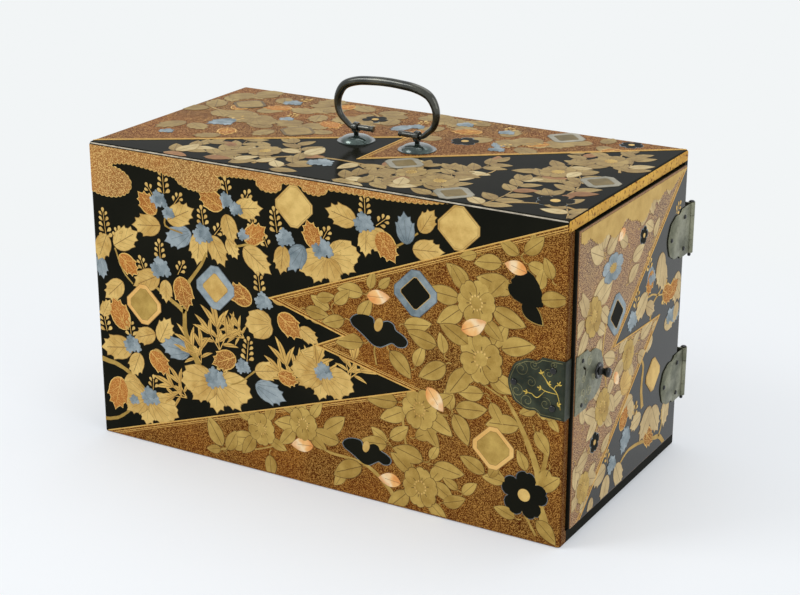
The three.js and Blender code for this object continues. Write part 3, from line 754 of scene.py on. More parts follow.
@dataclass(frozen=True)
class Bronze(Finish):
    """Cast and filed bronze under a patina.

    Attributes:
        clean: The colour where it is handled.
        patina: The colour where it is not.
        spot: The colour of stray darker spots.
        smooth: How polished it is, from 0 to 1.
        metal: How metallic it looks.
        coat: How much clear wax lies on it.
        sheen: How strongly its dark patina reflects.
    """

    clean: Colour = tint(140, 142, 128)
    patina: Colour = tint(101, 105, 90)
    spot: Colour = tint(66, 62, 42)
    smooth: float = 0.4
    metal: float = 0.75
    coat: float = 0.0
    sheen: float = 0.5

    def build(self, shader: Shader) -> bpy.types.Material:
        """Fills the shader and returns its material.

        Args:
            shader: The material's shader.

        Returns:
            The finished material.
        """
        wide = shader.noise(14.0, detail=4.0)
        close = shader.noise(1.6, detail=4.0)
        colour = shader.mix(wide.ramp(0.36, 0.64), self.patina, self.clean)
        colour = shader.mix(close.ramp(0.56, 0.72, 0.0, 0.75), colour, self.spot)
        rough = wide.ramp(0.3, 0.7, 0.6 - 0.4 * self.smooth, 0.46 - 0.38 * self.smooth) + close * 0.12
        normal = shader.bump(close, distance=0.12 * (1.0 - self.smooth) + 0.01)
        return shader.finish(Base_Color=colour, Metallic=self.metal, Roughness=rough, Normal=normal,
                             Coat_Weight=self.coat, Coat_Roughness=0.06, Specular_IOR_Level=self.sheen)


OLD_GOLD = {"bright": tint(197, 165, 88), "worn": tint(158, 125, 56), "line": tint(72, 46, 20)}
BLUE_GREY = {"bright": tint(160, 171, 174), "worn": tint(102, 116, 121), "line": tint(44, 52, 58),
             "metal": 0.2}

CASE = CaseGround("case_lacquer")
DOOR = DoorGround("door_lacquer")
BLACK_GROUND = BlackLacquer("black_lacquer")
CLOUD = FlakedLacquer("cloud_lacquer",
                      Flakes(ground=tint(172, 114, 60), flake=tint(232, 192, 122), cover=0.62))
DRAWER = FlakedLacquer("drawer_lacquer", Flakes(ground=tint(58, 33, 20), cover=0.34))
INSIDE = InnerLacquer("inner_lacquer")
FLECKED_LEAF = FlakedLacquer("flecked_leaf",
                             Flakes(ground=tint(172, 106, 50), flake=tint(224, 174, 100), size=0.7))
PLAIN_GOLD = Powder("plain_gold")
LINE_GOLD = Powder("line_gold", bright=tint(232, 192, 110), worn=tint(206, 162, 84), outlined=0.0)
FAN_GOLD = Powder("fan_leaf_gold", veins=Veins.FAN)
LEAF_GOLD = Powder("leaf_gold", veins=Veins.FEATHER)
FEATHER_GOLD = Powder("old_leaf_gold", veins=Veins.MIDRIB, outlined=0.75, **OLD_GOLD)
BLADE_GOLD = Powder("blade_gold", bright=tint(222, 182, 100), veins=Veins.MIDRIB, outlined=0.5)
PETAL_GOLD = Powder("petal_gold", veins=Veins.PETALS, outlined=0.8, **OLD_GOLD)
OLD_PLAIN = Powder("old_gold", **OLD_GOLD)
TOP_TONES = {"bright": tint(174, 148, 90), "worn": tint(140, 113, 62), "line": tint(60, 40, 20)}
TOP_GOLD = Powder("top_gold", veins=Veins.FEATHER, outlined=0.75, **TOP_TONES)
TOP_FAN = Powder("top_fan_gold", veins=Veins.FAN, outlined=0.75, **TOP_TONES)
TOP_PETAL = Powder("top_petal_gold", veins=Veins.PETALS, outlined=0.85, **TOP_TONES)
DOOR_GOLD = Powder("door_leaf_gold", bright=tint(212, 188, 136), worn=tint(182, 156, 108),
                   veins=Veins.MIDRIB, outlined=0.75)
DULL_SILVER = Powder("dull_silver", bright=tint(172, 166, 148), worn=tint(134, 130, 112),
                     line=tint(70, 64, 44))
OLIVE_GOLD = Powder("olive_gold", bright=tint(132, 112, 64), worn=tint(98, 84, 48), line=tint(60, 48, 24))
UMBER_GOLD = Powder("umber_gold", bright=tint(124, 102, 66), worn=tint(96, 80, 50), line=tint(60, 48, 28))
COPPER = Powder("copper_leaf", bright=tint(166, 118, 72), worn=tint(130, 90, 50), veins=Veins.MIDRIB)
PALE_GOLD = Powder("pale_leaf", bright=tint(212, 194, 146), worn=tint(180, 154, 100), veins=Veins.MIDRIB)
AMBER = Powder("amber_gold", bright=tint(236, 196, 122), worn=tint(222, 172, 96))
SILVER = Powder("silver_powder", veins=Veins.FAN, **BLUE_GREY)
SILVER_PLAIN = Powder("silver_plain", **BLUE_GREY)
SHELL = Shell("inlaid_shell")
PLATE = Bronze("plate_bronze", clean=tint(142, 142, 120), patina=tint(100, 102, 84), spot=tint(62, 58, 42))
PLATE_RELIEF = Bronze("plate_relief", clean=tint(176, 172, 140), patina=tint(146, 142, 112),
                      spot=tint(90, 84, 60))
STRIKE = Bronze("strike_bronze", clean=tint(62, 68, 52), patina=tint(38, 44, 34), spot=tint(66, 52, 30),
                smooth=0.5)
RELIEF = Bronze("relief_bronze", clean=tint(132, 128, 88), patina=tint(92, 90, 60), spot=tint(60, 56, 34))
HANDLE = Bronze("handle_bronze", clean=tint(74, 74, 64), patina=tint(40, 43, 38), spot=tint(36, 33, 26),
                smooth=0.95, metal=0.7, coat=0.7, sheen=0.2)
ROSETTE = Bronze("rosette_bronze", clean=tint(70, 86, 80), patina=tint(34, 50, 46), spot=tint(34, 38, 30),
                 smooth=0.85, metal=0.7, coat=0.8)
RIVET = Bronze("rivet_bronze", clean=tint(26, 26, 24), patina=tint(12, 13, 12), spot=tint(20, 18, 14),
               smooth=0.95, metal=0.1, coat=0.7, sheen=0.05)
# Darker than the iron's own grey: the extra darkness is painted shade for the lock seen through the keyway.
SHADED_IRON = Bronze("forged_iron", clean=tint(54, 50, 46), patina=tint(34, 32, 29), spot=tint(60, 40, 26),
              smooth=0.3)
GILT = Powder("engraved_gilt", bright=tint(224, 194, 96), worn=tint(160, 138, 62), metal=0.6, wear=0.35)


# ---- Modelling ----


class Bench:
    """Shapes pieces with Blender's own tools, as by hand.

    A plate's wall is the share of its height that stands straight, below the eased edge.
    """

    WALL = 0.75
    RIM_LIMIT = 0.9

    @staticmethod
    def clear() -> None:
        """Leaves nothing selected."""
        bpy.ops.object.select_all(action="DESELECT")

    @staticmethod
    def pick(*objects: Piece) -> None:
        """Selects the given objects alone, with the first as the active one.

        Args:
            objects: The objects.
        """
        Bench.clear()
        for obj in objects:
            obj.select_set(True)
        bpy.context.view_layer.objects.active = objects[0]

    @staticmethod
    def outward() -> None:
        """Turns the faces of the mesh in edit mode outwards."""
        bpy.ops.mesh.select_all(action="SELECT")
        bpy.ops.mesh.normals_make_consistent(inside=False)

    @staticmethod
    @contextmanager
    def editing(obj: Piece) -> Iterator[None]:
        """Edit mode on one object, with all of it selected.

        Args:
            obj: The object.

        Yields:
            Nothing, while the mode lasts.
        """
        Bench.pick(obj)
        bpy.ops.object.mode_set(mode="EDIT")
        bpy.ops.mesh.select_all(action="SELECT")
        try:
            yield
        finally:
            bpy.ops.object.mode_set(mode="OBJECT")

    @staticmethod
    def named(name: str) -> Piece:
        """The object just added, under its own name.

        Args:
            name: The name.

        Returns:
            The object.
        """
        obj = bpy.context.object
        obj.name = name
        obj.data.name = name
        return obj

    @staticmethod
    def plate(name: str, outline: Sequence[Point], bevel: float,
              height: float = 1.0) -> Piece:
        """A thin closed plate with an eased upper edge, from its outline.

        Args:
            name: The plate's name.
            outline: Its corners, counter-clockwise.
            bevel: How far the upper edge is eased in.
            height: Its thickness.

        Returns:
            The plate, lying on the plane z = 0.
        """
        Bench.clear()
        bpy.ops.mesh.primitive_circle_add(vertices=len(outline), radius=1.0, fill_type="NGON")
        obj = Bench.named(name)
        for vertex, (u, v) in zip(obj.data.vertices, outline):
            vertex.co = (u, v, 0.0)
        with Bench.editing(obj):
            wall = (0.0, 0.0, Bench.WALL * height)
            bpy.ops.mesh.extrude_region_move(TRANSFORM_OT_translate={"value": wall})
            bpy.ops.mesh.inset(thickness=bevel, depth=(1 - Bench.WALL) * height)
            Bench.outward()
        rim = obj.data.attributes.new("rim", "FLOAT", "POINT")
        limit = Bench.RIM_LIMIT * height
        rim.data.foreach_set("value", [float(vertex.co.z < limit) for vertex in obj.data.vertices])
        return obj

    @staticmethod
    def turned(name: str, profile: Sequence[Point], sides: int) -> Piece:
        """A turned body about +Z, built up ring by ring from a circle.

        Args:
            name: The body's name.
            profile: Radius and height of each ring, in millimetres.
            sides: How many sides each ring has.

        Returns:
            The closed body at the origin.
        """
        Bench.clear()
        (radius, height), *rest = profile
        bpy.ops.mesh.primitive_circle_add(vertices=sides, radius=radius * MM, fill_type="NGON",
                                          location=(0.0, 0.0, height * MM))
        obj = Bench.named(name)
        bpy.ops.object.transform_apply(location=True, rotation=True, scale=True)
        with Bench.editing(obj):
            for next_radius, next_height in rest:
                share = next_radius / radius
                bpy.ops.mesh.extrude_region_move(
                    TRANSFORM_OT_translate={"value": (0.0, 0.0, (next_height - height) * MM)})
                bpy.ops.transform.resize(value=(share, share, 1.0), center_override=(0.0, 0.0, 0.0))
                radius, height = next_radius, next_height
            Bench.outward()
        return obj

    @staticmethod
    def rod(name: str, path: Sequence[Vector], radii: Sequence[float], sides: int) -> Piece:
        """A round rod along a path.

        Args:
            name: The rod's name.
            path: The points of its middle line, in metres.
            radii: Its radius at each point, in millimetres.
            sides: The bevel resolution of its section.

        Returns:
            The closed rod.
        """
        Bench.clear()
        bpy.ops.curve.primitive_nurbs_path_add()
        obj = Bench.named(name)
        curve = obj.data
        curve.splines.clear()
        spline = curve.splines.new("POLY")
        spline.points.add(len(path) - 1)
        for point, place, radius in zip(spline.points, path, radii):
            point.co = (*place, 1.0)
            point.radius = radius
        curve.dimensions = "3D"
        curve.twist_mode = "MINIMUM"
        curve.bevel_depth = MM
        curve.bevel_resolution = sides
        curve.use_fill_caps = True
        bpy.ops.object.convert(target="MESH")
        with Bench.editing(obj):
            bpy.ops.mesh.remove_doubles(threshold=1e-7)
            Bench.outward()
        return obj

    @staticmethod
    def settle(obj: Piece, place: Matrix) -> Piece:
        """Moves a piece's mesh to its place and leaves its object at the origin.

        Args:
            obj: The piece.
            place: Where it goes.

        Returns:
            The piece.
        """
        obj.data.transform(place @ obj.matrix_basis)
        obj.matrix_basis = Matrix.Identity(4)
        return obj

    @staticmethod
    def smooth(obj: Piece, angle: float = 32.0) -> Piece:
        """Shades a piece smooth, apart from edges sharper than the angle in degrees.

        Args:
            obj: The piece.
            angle: The sharpest edge that is smoothed.

        Returns:
            The piece.
        """
        Bench.pick(obj)
        bpy.ops.object.shade_smooth_by_angle(angle=math.radians(angle))
        return obj

    @staticmethod
    def join(name: str, parts: Sequence[Piece]) -> Piece:
        """One object of several parts.

        Args:
            name: The joined object's name.
            parts: The parts; they are used up.

        Returns:
            The joined object.
        """
        Bench.pick(*parts)
        if len(parts) > 1:
            bpy.ops.object.join()
        return Bench.named(name)

    @staticmethod
    def copy_of(obj: Piece, name: str) -> Piece:
        """A copy of a piece with its own mesh.

        Args:
            obj: The piece.
            name: The copy's name.

        Returns:
            The copy.
        """
        made = bpy.data.objects.new(name, obj.data.copy())
        bpy.context.scene.collection.objects.link(made)
        return made

    @staticmethod
    def dress(obj: Piece, finish: Finish, slot: Slot, body: str) -> Piece:
        """Gives a new piece its finish and body, and reports it.

        Args:
            obj: The piece.
            finish: Its finish.
            slot: Not used.
            body: The body it rides on.

        Returns:
            The piece.
        """
        obj.data.materials.clear()
        obj.data.materials.append(finish.material())
        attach(obj, body)
        log.info("%s: %d faces on %s", obj.name, len(obj.data.polygons), body)
        return obj


def heading(angle: float) -> Vector:
    """The unit vector at an angle in degrees."""
    return Vector((math.cos(math.radians(angle)), math.sin(math.radians(angle))))


def stepped(base: Point, angle: float, reach: float) -> Point:
    """The point at a distance from another, at an angle in degrees."""
    return tuple(Vector(base) + heading(angle) * reach)


def smooth_path(points: Sequence[Point], steps: int) -> list[Point]:
    """A smooth line through points, with the given steps between two of them.

    Args:
        points: The points to go through.
        steps: The steps between two of them.

    Returns:
        The line's points.
    """
    ends = [points[0], *points, points[-1]]
    path = []
    for i in range(1, len(ends) - 2):
        a, b, c, d = (Vector(p) for p in ends[i - 1:i + 3])
        for step in range(steps):
            t = step / steps
            p = 0.5 * (2 * b + (c - a) * t + (2 * a - 5 * b + 4 * c - d) * t ** 2
                       + (3 * b - a - 3 * c + d) * t ** 3)
            path.append((p.x, p.y))
    return [*path, tuple(points[-1])]


def band(path: Sequence[Point], start: float, end: float, shift: float = 0.0,
         knots: float = 0.0) -> list[Point]:
    """The outline of a strip along a path, with mitred corners.

    Args:
        path: The strip's middle line.
        start: Its width at the path's start.
        end: Its width at the path's end.
        shift: How far it lies to the left of the path.
        knots: How much its sides swell and shrink, as a share of its width.

    Returns:
        The outline, counter-clockwise.
    """
    left, right = [], []
    for i, spot in enumerate(path):
        here = Vector(spot)
        before = (here - Vector(path[i - 1])).normalized() if i else None
        after = (Vector(path[i + 1]) - here).normalized() if i + 1 < len(path) else None
        ahead = before if after is None else after if before is None else (before + after).normalized()
        cosine = ahead.dot(after or before)
        across = Vector((-ahead.y, ahead.x)) / max(cosine, 0.3)
        half = (start + (end - start) * i / (len(path) - 1)) / 2
        left.append(tuple(here + across * (shift + half * (1 + knots * math.sin(2.3 * i)))))
        right.append(tuple(here + across * (shift - half * (1 + knots * math.sin(3.1 * i + 1)))))
    return [*right, *reversed(left)]


def grown(outline: Sequence[Point], margin: float) -> list[Point]:
    """An outline moved outwards by a margin.

    Args:
        outline: The outline, counter-clockwise.
        margin: How far it moves.

    Returns:
        The larger outline.
    """
    made = []
    for i, spot in enumerate(outline):
        along = Vector(outline[(i + 1) % len(outline)]) - Vector(outline[i - 1])
        made.append(tuple(Vector(spot) + Vector((along.y, -along.x)).normalized() * margin))
    return made


# ---- Motifs ----


@dataclass
class MotifBook:
    """The shapes that the decoration repeats, each modelled once at unit length along +X.

    Attributes:
        shapes: The modelled shapes by name.
    """

    shapes: dict[str, Piece] = field(default_factory=dict)

    BROAD = ((0.0, 0.0), (0.04, 0.12), (0.13, 0.23), (0.27, 0.31), (0.43, 0.34), (0.57, 0.33),
             (0.72, 0.355), (0.71, 0.27), (0.79, 0.22), (0.92, 0.235), (0.9, 0.13), (0.97, 0.07),
             (1.04, 0.025), (1.09, 0.0))
    ROUND = ((0.0, 0.0), (-0.03, 0.17), (0.05, 0.33), (0.2, 0.44), (0.4, 0.49), (0.58, 0.47), (0.77, 0.43),
             (0.77, 0.31), (0.91, 0.23), (0.91, 0.12), (1.02, 0.0))
    PETAL = ((0.0, 0.0), (0.1, 0.14), (0.28, 0.3), (0.5, 0.42), (0.72, 0.45), (0.88, 0.38), (0.98, 0.24),
             (1.01, 0.1), (0.95, 0.0))
    SIDE_BLOOM = ((-0.5, 0.088), (-0.46, 0.01), (-0.36, -0.052), (-0.24, -0.135), (-0.17, -0.192),
                  (-0.08, -0.246), (0.03, -0.256), (0.14, -0.198), (0.24, -0.15), (0.34, -0.195),
                  (0.46, -0.169), (0.5, -0.079), (0.42, 0.002), (0.3, 0.06), (0.26, 0.146),
                  (0.16, 0.182), (0.05, 0.133), (0.02, 0.07), (-0.05, 0.043), (-0.08, 0.114),
                  (-0.1, 0.187), (-0.2, 0.215), (-0.34, 0.207), (-0.45, 0.154))
    TEARDROP = ((0.0, 0.0), (0.2, 0.12), (0.42, 0.25), (0.66, 0.33), (0.86, 0.27), (0.97, 0.13), (1.0, 0.0))

    @staticmethod
    def mirrored(half: Sequence[Point]) -> list[Point]:
        """A whole outline from its upper half, counter-clockwise."""
        return [*((u, -v) for u, v in half), *reversed(half[1:-1])]

    @staticmethod
    def leaf(width: float, fullness: float, bend: float, steps: int) -> list[Point]:
        """A pointed leaf's outline.

        Args:
            width: Its half width.
            fullness: Where along it is the widest, as the power of its length.
            bend: How far its tip turns aside.
            steps: The points along each side.

        Returns:
            The outline, counter-clockwise.
        """
        sides = []
        for sign in (-1.0, 1.0):
            side = []
            for step in range(steps + 1):
                t = step / steps
                swell = width * math.sin(math.pi * t ** fullness) ** 0.82
                side.append((t, sign * swell + bend * (t * t - t * 0.6)))
            sides.append(side)
        return [*sides[0], *reversed(sides[1][1:-1])]

    @staticmethod
    def lobes(count: int, depth: float, steps: int) -> list[Point]:
        """A flower's outline about the origin, with round petals that meet in notches.

        Args:
            count: How many petals it has.
            depth: How deep the notches are.
            steps: The points of each petal.

        Returns:
            The outline.
        """
        outline = []
        for step in range(count * steps):
            angle = 2 * math.pi * step / (count * steps)
            swell = abs(math.cos(count * angle / 2))
            radius = 0.5 * (1 - depth + depth * swell)
            outline.append((radius * math.cos(angle), radius * math.sin(angle)))
        return outline

    def add(self, name: str, outline: Sequence[Point], bevel: float, centred: bool = False) -> None:
        """Models one shape and gives it the map that its drawn lines follow.

        Args:
            name: The shape's name.
            outline: Its outline.
            bevel: How far its edge is eased in.
            centred: Whether it lies about the origin.
        """
        obj = Bench.plate(f"shape_{name}", outline, bevel)
        layer = obj.data.uv_layers.new(name="motif")
        shift = 0.5 if centred else 0.0
        for loop, spot in zip(obj.data.loops, layer.data):
            corner = obj.data.vertices[loop.vertex_index].co
            spot.uv = (corner.x + shift, corner.y + 0.5)
        self.shapes[name] = obj

    def model(self) -> None:
        """Models every shape."""
        self.add("broad", self.mirrored(self.BROAD), bevel=0.022)
        self.add("round", self.mirrored(self.ROUND), bevel=0.02)
        for side, way in (("left", 1), ("right", -1)):
            oval = self.leaf(width=0.27, fullness=0.8, bend=0.16 * way, steps=9)
            blade = self.leaf(width=0.085, fullness=0.8, bend=0.2 * way, steps=7)
            self.add(f"oval_{side}", oval, bevel=0.026)
            self.add(f"blade_{side}", blade, bevel=0.009)
        self.add("petal", self.leaf(width=0.29, fullness=0.85, bend=0.12, steps=9), bevel=0.016)
        self.add("bud", self.mirrored(self.TEARDROP), bevel=0.05)
        self.add("floret", self.lobes(count=5, depth=0.36, steps=6), bevel=0.02, centred=True)
        self.add("round_petal", self.mirrored(self.PETAL), bevel=0.044)
        bloom = smooth_path((*self.SIDE_BLOOM, self.SIDE_BLOOM[0]), steps=3)[:-1]
        self.add("side_bloom", bloom, bevel=0.012, centred=True)
        self.add("side_bloom_rim", grown(bloom, margin=0.014), bevel=0.012, centred=True)
        self.add("stamens", self.lobes(count=12, depth=0.3, steps=4), bevel=0.02, centred=True)
        self.add("disc", self.lobes(count=1, depth=0.0, steps=20), bevel=0.03, centred=True)
        self.add("cartouche", self.diamond(cut=0.1), bevel=0.02, centred=True)
        self.add("inner_cartouche", self.diamond(cut=0.05), bevel=0.02, centred=True)

    @staticmethod
    def diamond(cut: float) -> list[Point]:
        """A diamond that spans 1 each way, with its four points cut off.

        Args:
            cut: Half the width of a cut point.

        Returns:
            The outline.
        """
        corners = [(0.5, cut), (cut, 0.5)]
        quarter = [(0.5, -cut), *corners]
        return [*quarter, *((-u, v) for u, v in reversed(corners)), (-0.5, -cut), (-cut, -0.5),
                (cut, -0.5)]

    def discard(self) -> None:
        """Takes the unit shapes away once everything is laid."""
        for obj in self.shapes.values():
            bpy.data.objects.remove(obj)


@dataclass(frozen=True)
class Design:
    """Where the motifs of one face lie, in millimetres and degrees on that face.

    A spot is the motif's base across and up, the angle of its tip, and its length. A blossom has its
    middle and size, a bare place its middle and radius, and a cartouche its middle, height and kind.
    A branch has its middle line and its width at each end. Foliage and clouds are outlines.
    """

    gold_leaves: tuple[Spot, ...] = ()
    round_leaves: tuple[Spot, ...] = ()
    flecked_leaves: tuple[Spot, ...] = ()
    silver_leaves: tuple[Spot, ...] = ()
    fans: tuple[Spot, ...] = ()
    blossoms: tuple[Place, ...] = ()
    racemes: tuple[Spot, ...] = ()
    grass: tuple[Spot, ...] = ()
    sprigs: tuple[Spot, ...] = ()
    ovals: tuple[Spot, ...] = ()
    gold_camellias: tuple[Spot, ...] = ()
    black_camellias: tuple[Spot, ...] = ()
    silver_camellias: tuple[Spot, ...] = ()
    foliage: tuple[tuple[Point, ...], ...] = ()
    bare: tuple[Place, ...] = ()
    side_flowers: tuple[Spot, ...] = ()
    dark_buds: tuple[Spot, ...] = ()
    petals: tuple[Spot, ...] = ()
    cartouches: tuple[tuple[float, float, float, str], ...] = ()
    branches: tuple[tuple[tuple[Point, ...], float, float], ...] = ()
    clouds: tuple[tuple[Point, ...], ...] = ()
    wood: Finish = PLAIN_GOLD
    leafing: Finish = LEAF_GOLD
    fanned: Finish = FAN_GOLD
    oval: Finish = FEATHER_GOLD
    stray: Finish = FEATHER_GOLD
    bloom: Finish = PETAL_GOLD
    petal: Finish = SHELL


class Rise(float, Enum):
    """How far the motifs stand above their face, in millimetres."""

    RIM = 0.08
    STEM = 0.09
    LINE = 0.1
    LEAF = 0.12
    BRANCH = 0.16
    FLECKED = 0.21
    PETAL = 0.24
    FLORET = 0.25
    CLOUD_RIM = 0.3
    LEVEL = 0.36
    STAMENS = 0.38
    FRAME = 0.4
    CLOUD = 0.42
    HEART = 0.44
    FRAME_LINE = 0.46
    FIELD = 0.52


@dataclass
class Panel:
    """One decorated face.

    A fan's leaf has its shape, turn, length and width in a row, a blade its place on the stem, turn
    and length, a stem its turn and length, and a cartouche the finishes of its rim and field and the
    field's share.

    Attributes:
        name: The face's name, which starts its pieces' names.
        body: The body that its pieces ride on.
        origin: The face's own origin, in millimetres.
        across: The direction of its first coordinate.
        up: The direction of its second coordinate.
        low: Its lower limits for the motifs.
        high: Its upper limits.
        line: Its lightning-bolt line.
        design: Its motifs.
        book: The shapes to lay.
        parts: The pieces laid so far, by their finish's name.
        finishes: The finishes used so far, by name.
        count: How many pieces were laid.
        clouds: How many of them are clouds.
    """

    name: str
    body: str
    origin: Vector
    across: Vector
    up: Vector
    low: Point
    high: Point
    line: Zigzag
    design: Design
    book: MotifBook
    parts: dict[str, list[Piece]] = field(default_factory=dict)
    finishes: dict[str, Finish] = field(default_factory=dict)
    count: int = 0
    clouds: int = 0

    SINK = 0.05
    SPREAD = 0.15
    GOLDEN = 0.618034
    TONE_STEP = 0.618
    FAN_LEAVES = (("round", -82, 0.98, 1.1), ("round", 82, 0.98, 1.1), ("broad", -46, 0.9, 0.96),
                  ("broad", 46, 0.9, 0.96), ("broad", 0, 0.88, 0.98))
    STEMS = ((-30, 0.92), (4, 1.08), (34, 0.84))
    BLADES = ((0.56, 4, 0.66), (0.5, 30, 0.62), (0.46, -32, 0.6), (0.26, 50, 0.52), (0.18, -54, 0.5))
    FLORETS = 8
    FLORET_TURN = 137.5
    SPRAY = (1.25, 0.85)
    RING_TURNS = (24, 112, 196, 290)
    SIDE_LINES = ((0.6, -2.4), (0.5, -3.9))
    CLOUD_STEP = 0.02
    SMALL_FIELD = 0.7
    CARTOUCHES = {
        "gold": (PLAIN_GOLD, PLAIN_GOLD, 0.92),
        "amber": (AMBER, OLD_PLAIN, 0.78),
        "silver": (SILVER_PLAIN, PLAIN_GOLD, 0.66),
        "dark": (SILVER_PLAIN, BLACK_GROUND, 0.68),
        "dull": (DULL_SILVER, OLIVE_GOLD, 0.68),
        "umber": (UMBER_GOLD, TOP_GOLD, 0.84),
    }

    def matrix(self) -> Matrix:
        """The face's frame, from millimetres on it to metres in the part.

        Returns:
            The matrix.
        """
        out = self.across.cross(self.up)
        columns = Matrix((self.across, self.up, out)).transposed().to_4x4()
        return Matrix.Translation(self.origin * MM) @ columns @ Matrix.Scale(MM, 4)

    def lay(self, shape: str, finish: Finish, spot: Spot, rise: float, wide: float = 1.0,
            trimmed: bool = True, lean: Matrix | None = None) -> None:
        """Lays one copy of a shape; low ones differ a little in height, so that none share a plane.

        Args:
            shape: The shape's name in the book.
            finish: Its finish.
            spot: Where its base is, its angle and its length.
            rise: How far it stands above the face, in millimetres.
            wide: Its width against its length.
            trimmed: Whether the lightning-bolt line cuts it.
            lean: A foreshortening about its base.
        """
        u, v, angle, length = spot
        self.count += 1
        obj = Bench.copy_of(self.book.shapes[shape], f"{self.name}_{self.count}")
        rise += self.SPREAD * ((self.count * self.GOLDEN) % 1.0) if rise < Rise.LEVEL else 0.0
        turn = Matrix.Rotation(math.radians(angle), 4, "Z")
        size = Matrix.Diagonal((length, length * wide, rise + self.SINK, 1.0))
        obj.data.transform(Matrix.Translation((u, v, -self.SINK)) @ (lean or Matrix()) @ turn @ size)
        self.keep(obj, finish, (u, v) if trimmed else None)

    def keep(self, obj: Piece, finish: Finish, base: Point | None) -> None:
        """Trims a laid piece to its ground, gives it its tone and files it under its finish.

        Args:
            obj: The piece.
            finish: Its finish.
            base: Where it grows from, where the lightning-bolt line cuts it.
        """
        corners = [(vertex.co.x, vertex.co.y) for vertex in obj.data.vertices]
        if self.design.bare and self.covers_bare(corners):
            bpy.data.objects.remove(obj)
            return
        planes = []
        for axis, outward in enumerate(((1.0, 0.0), (0.0, 1.0))):
            if min(corner[axis] for corner in corners) < self.low[axis]:
                planes.append((self.low, (-outward[0], -outward[1])))
            if max(corner[axis] for corner in corners) > self.high[axis]:
                planes.append((self.high, outward))
        if base is not None:
            for stretch in self.line.crossings(base, corners):
                start, end = self.line.points[stretch], self.line.points[stretch + 1]
                outward = Vector((start[1] - end[1], end[0] - start[0])).normalized()
                if self.line.left(stretch, base[0] * MM, base[1] * MM) > 0:
                    outward = -outward
                planes.append((start, tuple(outward)))
        if planes:
            with Bench.editing(obj):
                for spot, outward in planes:
                    bpy.ops.mesh.select_all(action="SELECT")
                    bpy.ops.mesh.bisect(plane_co=(*spot, 0.0), plane_no=(*outward, 0.0),
                                        use_fill=True, clear_outer=True)
        if not obj.data.polygons:
            bpy.data.objects.remove(obj)
            return
        tone = obj.data.attributes.new("tone", "FLOAT", "POINT")
        shade = (self.count * self.TONE_STEP) % 1.0
        tone.data.foreach_set("value", [shade] * len(obj.data.vertices))
        self.parts.setdefault(finish.name, []).append(obj)
        self.finishes[finish.name] = finish

    def covers_bare(self, corners: Sequence[Point]) -> bool:
        """Whether a piece reaches into a spot that stays bare."""
        return any(math.hypot(corner[0] - u, corner[1] - v) < radius
                   for u, v, radius in self.design.bare for corner in corners)

    def outline(self, finish: Finish, corners: Sequence[Point], rise: float,
                base: Point | None = None, bevel: float = 0.12) -> None:
        """Lays a plate of its own outline.

        Args:
            finish: Its finish.
            corners: Its outline, counter-clockwise.
            rise: How far it stands above the face.
            base: Where it grows from, where the lightning-bolt line cuts it.
            bevel: How far its edge is eased in.
        """
        self.count += 1
        obj = Bench.plate(f"{self.name}_{self.count}", corners, bevel, rise + self.SINK)
        obj.data.transform(Matrix.Translation((0.0, 0.0, -self.SINK)))
        layer = obj.data.uv_layers.new(name="motif")
        for spot in layer.data:
            spot.uv = (0.0, 0.5)
        self.keep(obj, finish, base)

    @staticmethod
    def leaning(angle: float, flat: float) -> Matrix:
        """A foreshortening by a share along an angle in degrees."""
        turn = Matrix.Rotation(math.radians(angle), 4, "Z")
        return turn @ Matrix.Diagonal((flat, 1.0, 1.0, 1.0)) @ turn.inverted()

    def leaf(self, shape: str, finish: Finish, spot: Spot) -> None:
        """Lays a leaf, with a gold rim under it and ribs over it where it is flecked.

        Args:
            shape: The shape's name in the book.
            finish: Its finish.
            spot: Its place.
        """
        if finish is not FLECKED_LEAF:
            self.lay(shape, finish, spot, Rise.LEAF)
            return
        *base, angle, length = spot
        under = (*stepped(base, angle, -0.8), angle, length + 1.7)
        self.lay(shape, LINE_GOLD, under, Rise.RIM, 1.0 + 1.4 / length)
        self.lay(shape, finish, spot, Rise.FLECKED)
        tip = stepped(base, angle, length * 0.86)
        self.outline(LINE_GOLD, band((base, tip), start=0.9, end=0.5), Rise.LEVEL, base)
        fork = stepped(base, angle, length * 0.28)
        for turn in (-38, 38):
            end = stepped(fork, angle + turn, length * 0.4)
            self.outline(LINE_GOLD, band((fork, end), start=0.7, end=0.4), Rise.LEVEL, base)

    def oval(self, row: tuple[int, Spot]) -> None:
        """Lays a pointed leaf on a short curved twig, bent left and right by turns.

        Args:
            row: Its number and its place.
        """
        turn, (*base, angle, length) = row
        left = turn % 2 == 1
        back = stepped(base, angle + (24 if left else -24), -5.0)
        path = smooth_path((base, stepped(base, angle, -2.4), back), steps=3)
        self.outline(self.design.wood, band(path, start=0.8, end=1.1), Rise.RIM, base)
        finish = self.design.stray if self.count % 5 == 0 else self.design.oval
        self.lay("oval_left" if left else "oval_right", finish, (*base, angle, length * 1.16), Rise.LEAF)

    def fan(self, spot: Spot) -> None:
        """Lays a hanging fan of broad leaves about a base, the middle one at the angle.

        Args:
            spot: Its place.
        """
        *base, angle, length = spot
        lean = self.leaning(angle, 0.8)
        for shape, turn, share, wide in self.FAN_LEAVES:
            foot = stepped(base, angle + turn, 0.05 * length)
            leaf = (*foot, angle + turn * 0.94, length * share)
            self.lay(shape, self.design.fanned, leaf, Rise.LEAF, wide, lean=lean)

    def blossom(self, spot: Place) -> None:
        """Lays a clump of small silver florets.

        Args:
            spot: Its place.
        """
        *base, size = spot
        for k in range(self.FLORETS):
            reach = 0.15 * size * math.sqrt(k)
            place = Vector(base) + Vector(self.SPRAY) * heading(self.FLORET_TURN * k) * reach
            self.lay("floret", SILVER_PLAIN, (*place, 40.0 * k, size * 0.56), Rise.FLORET)

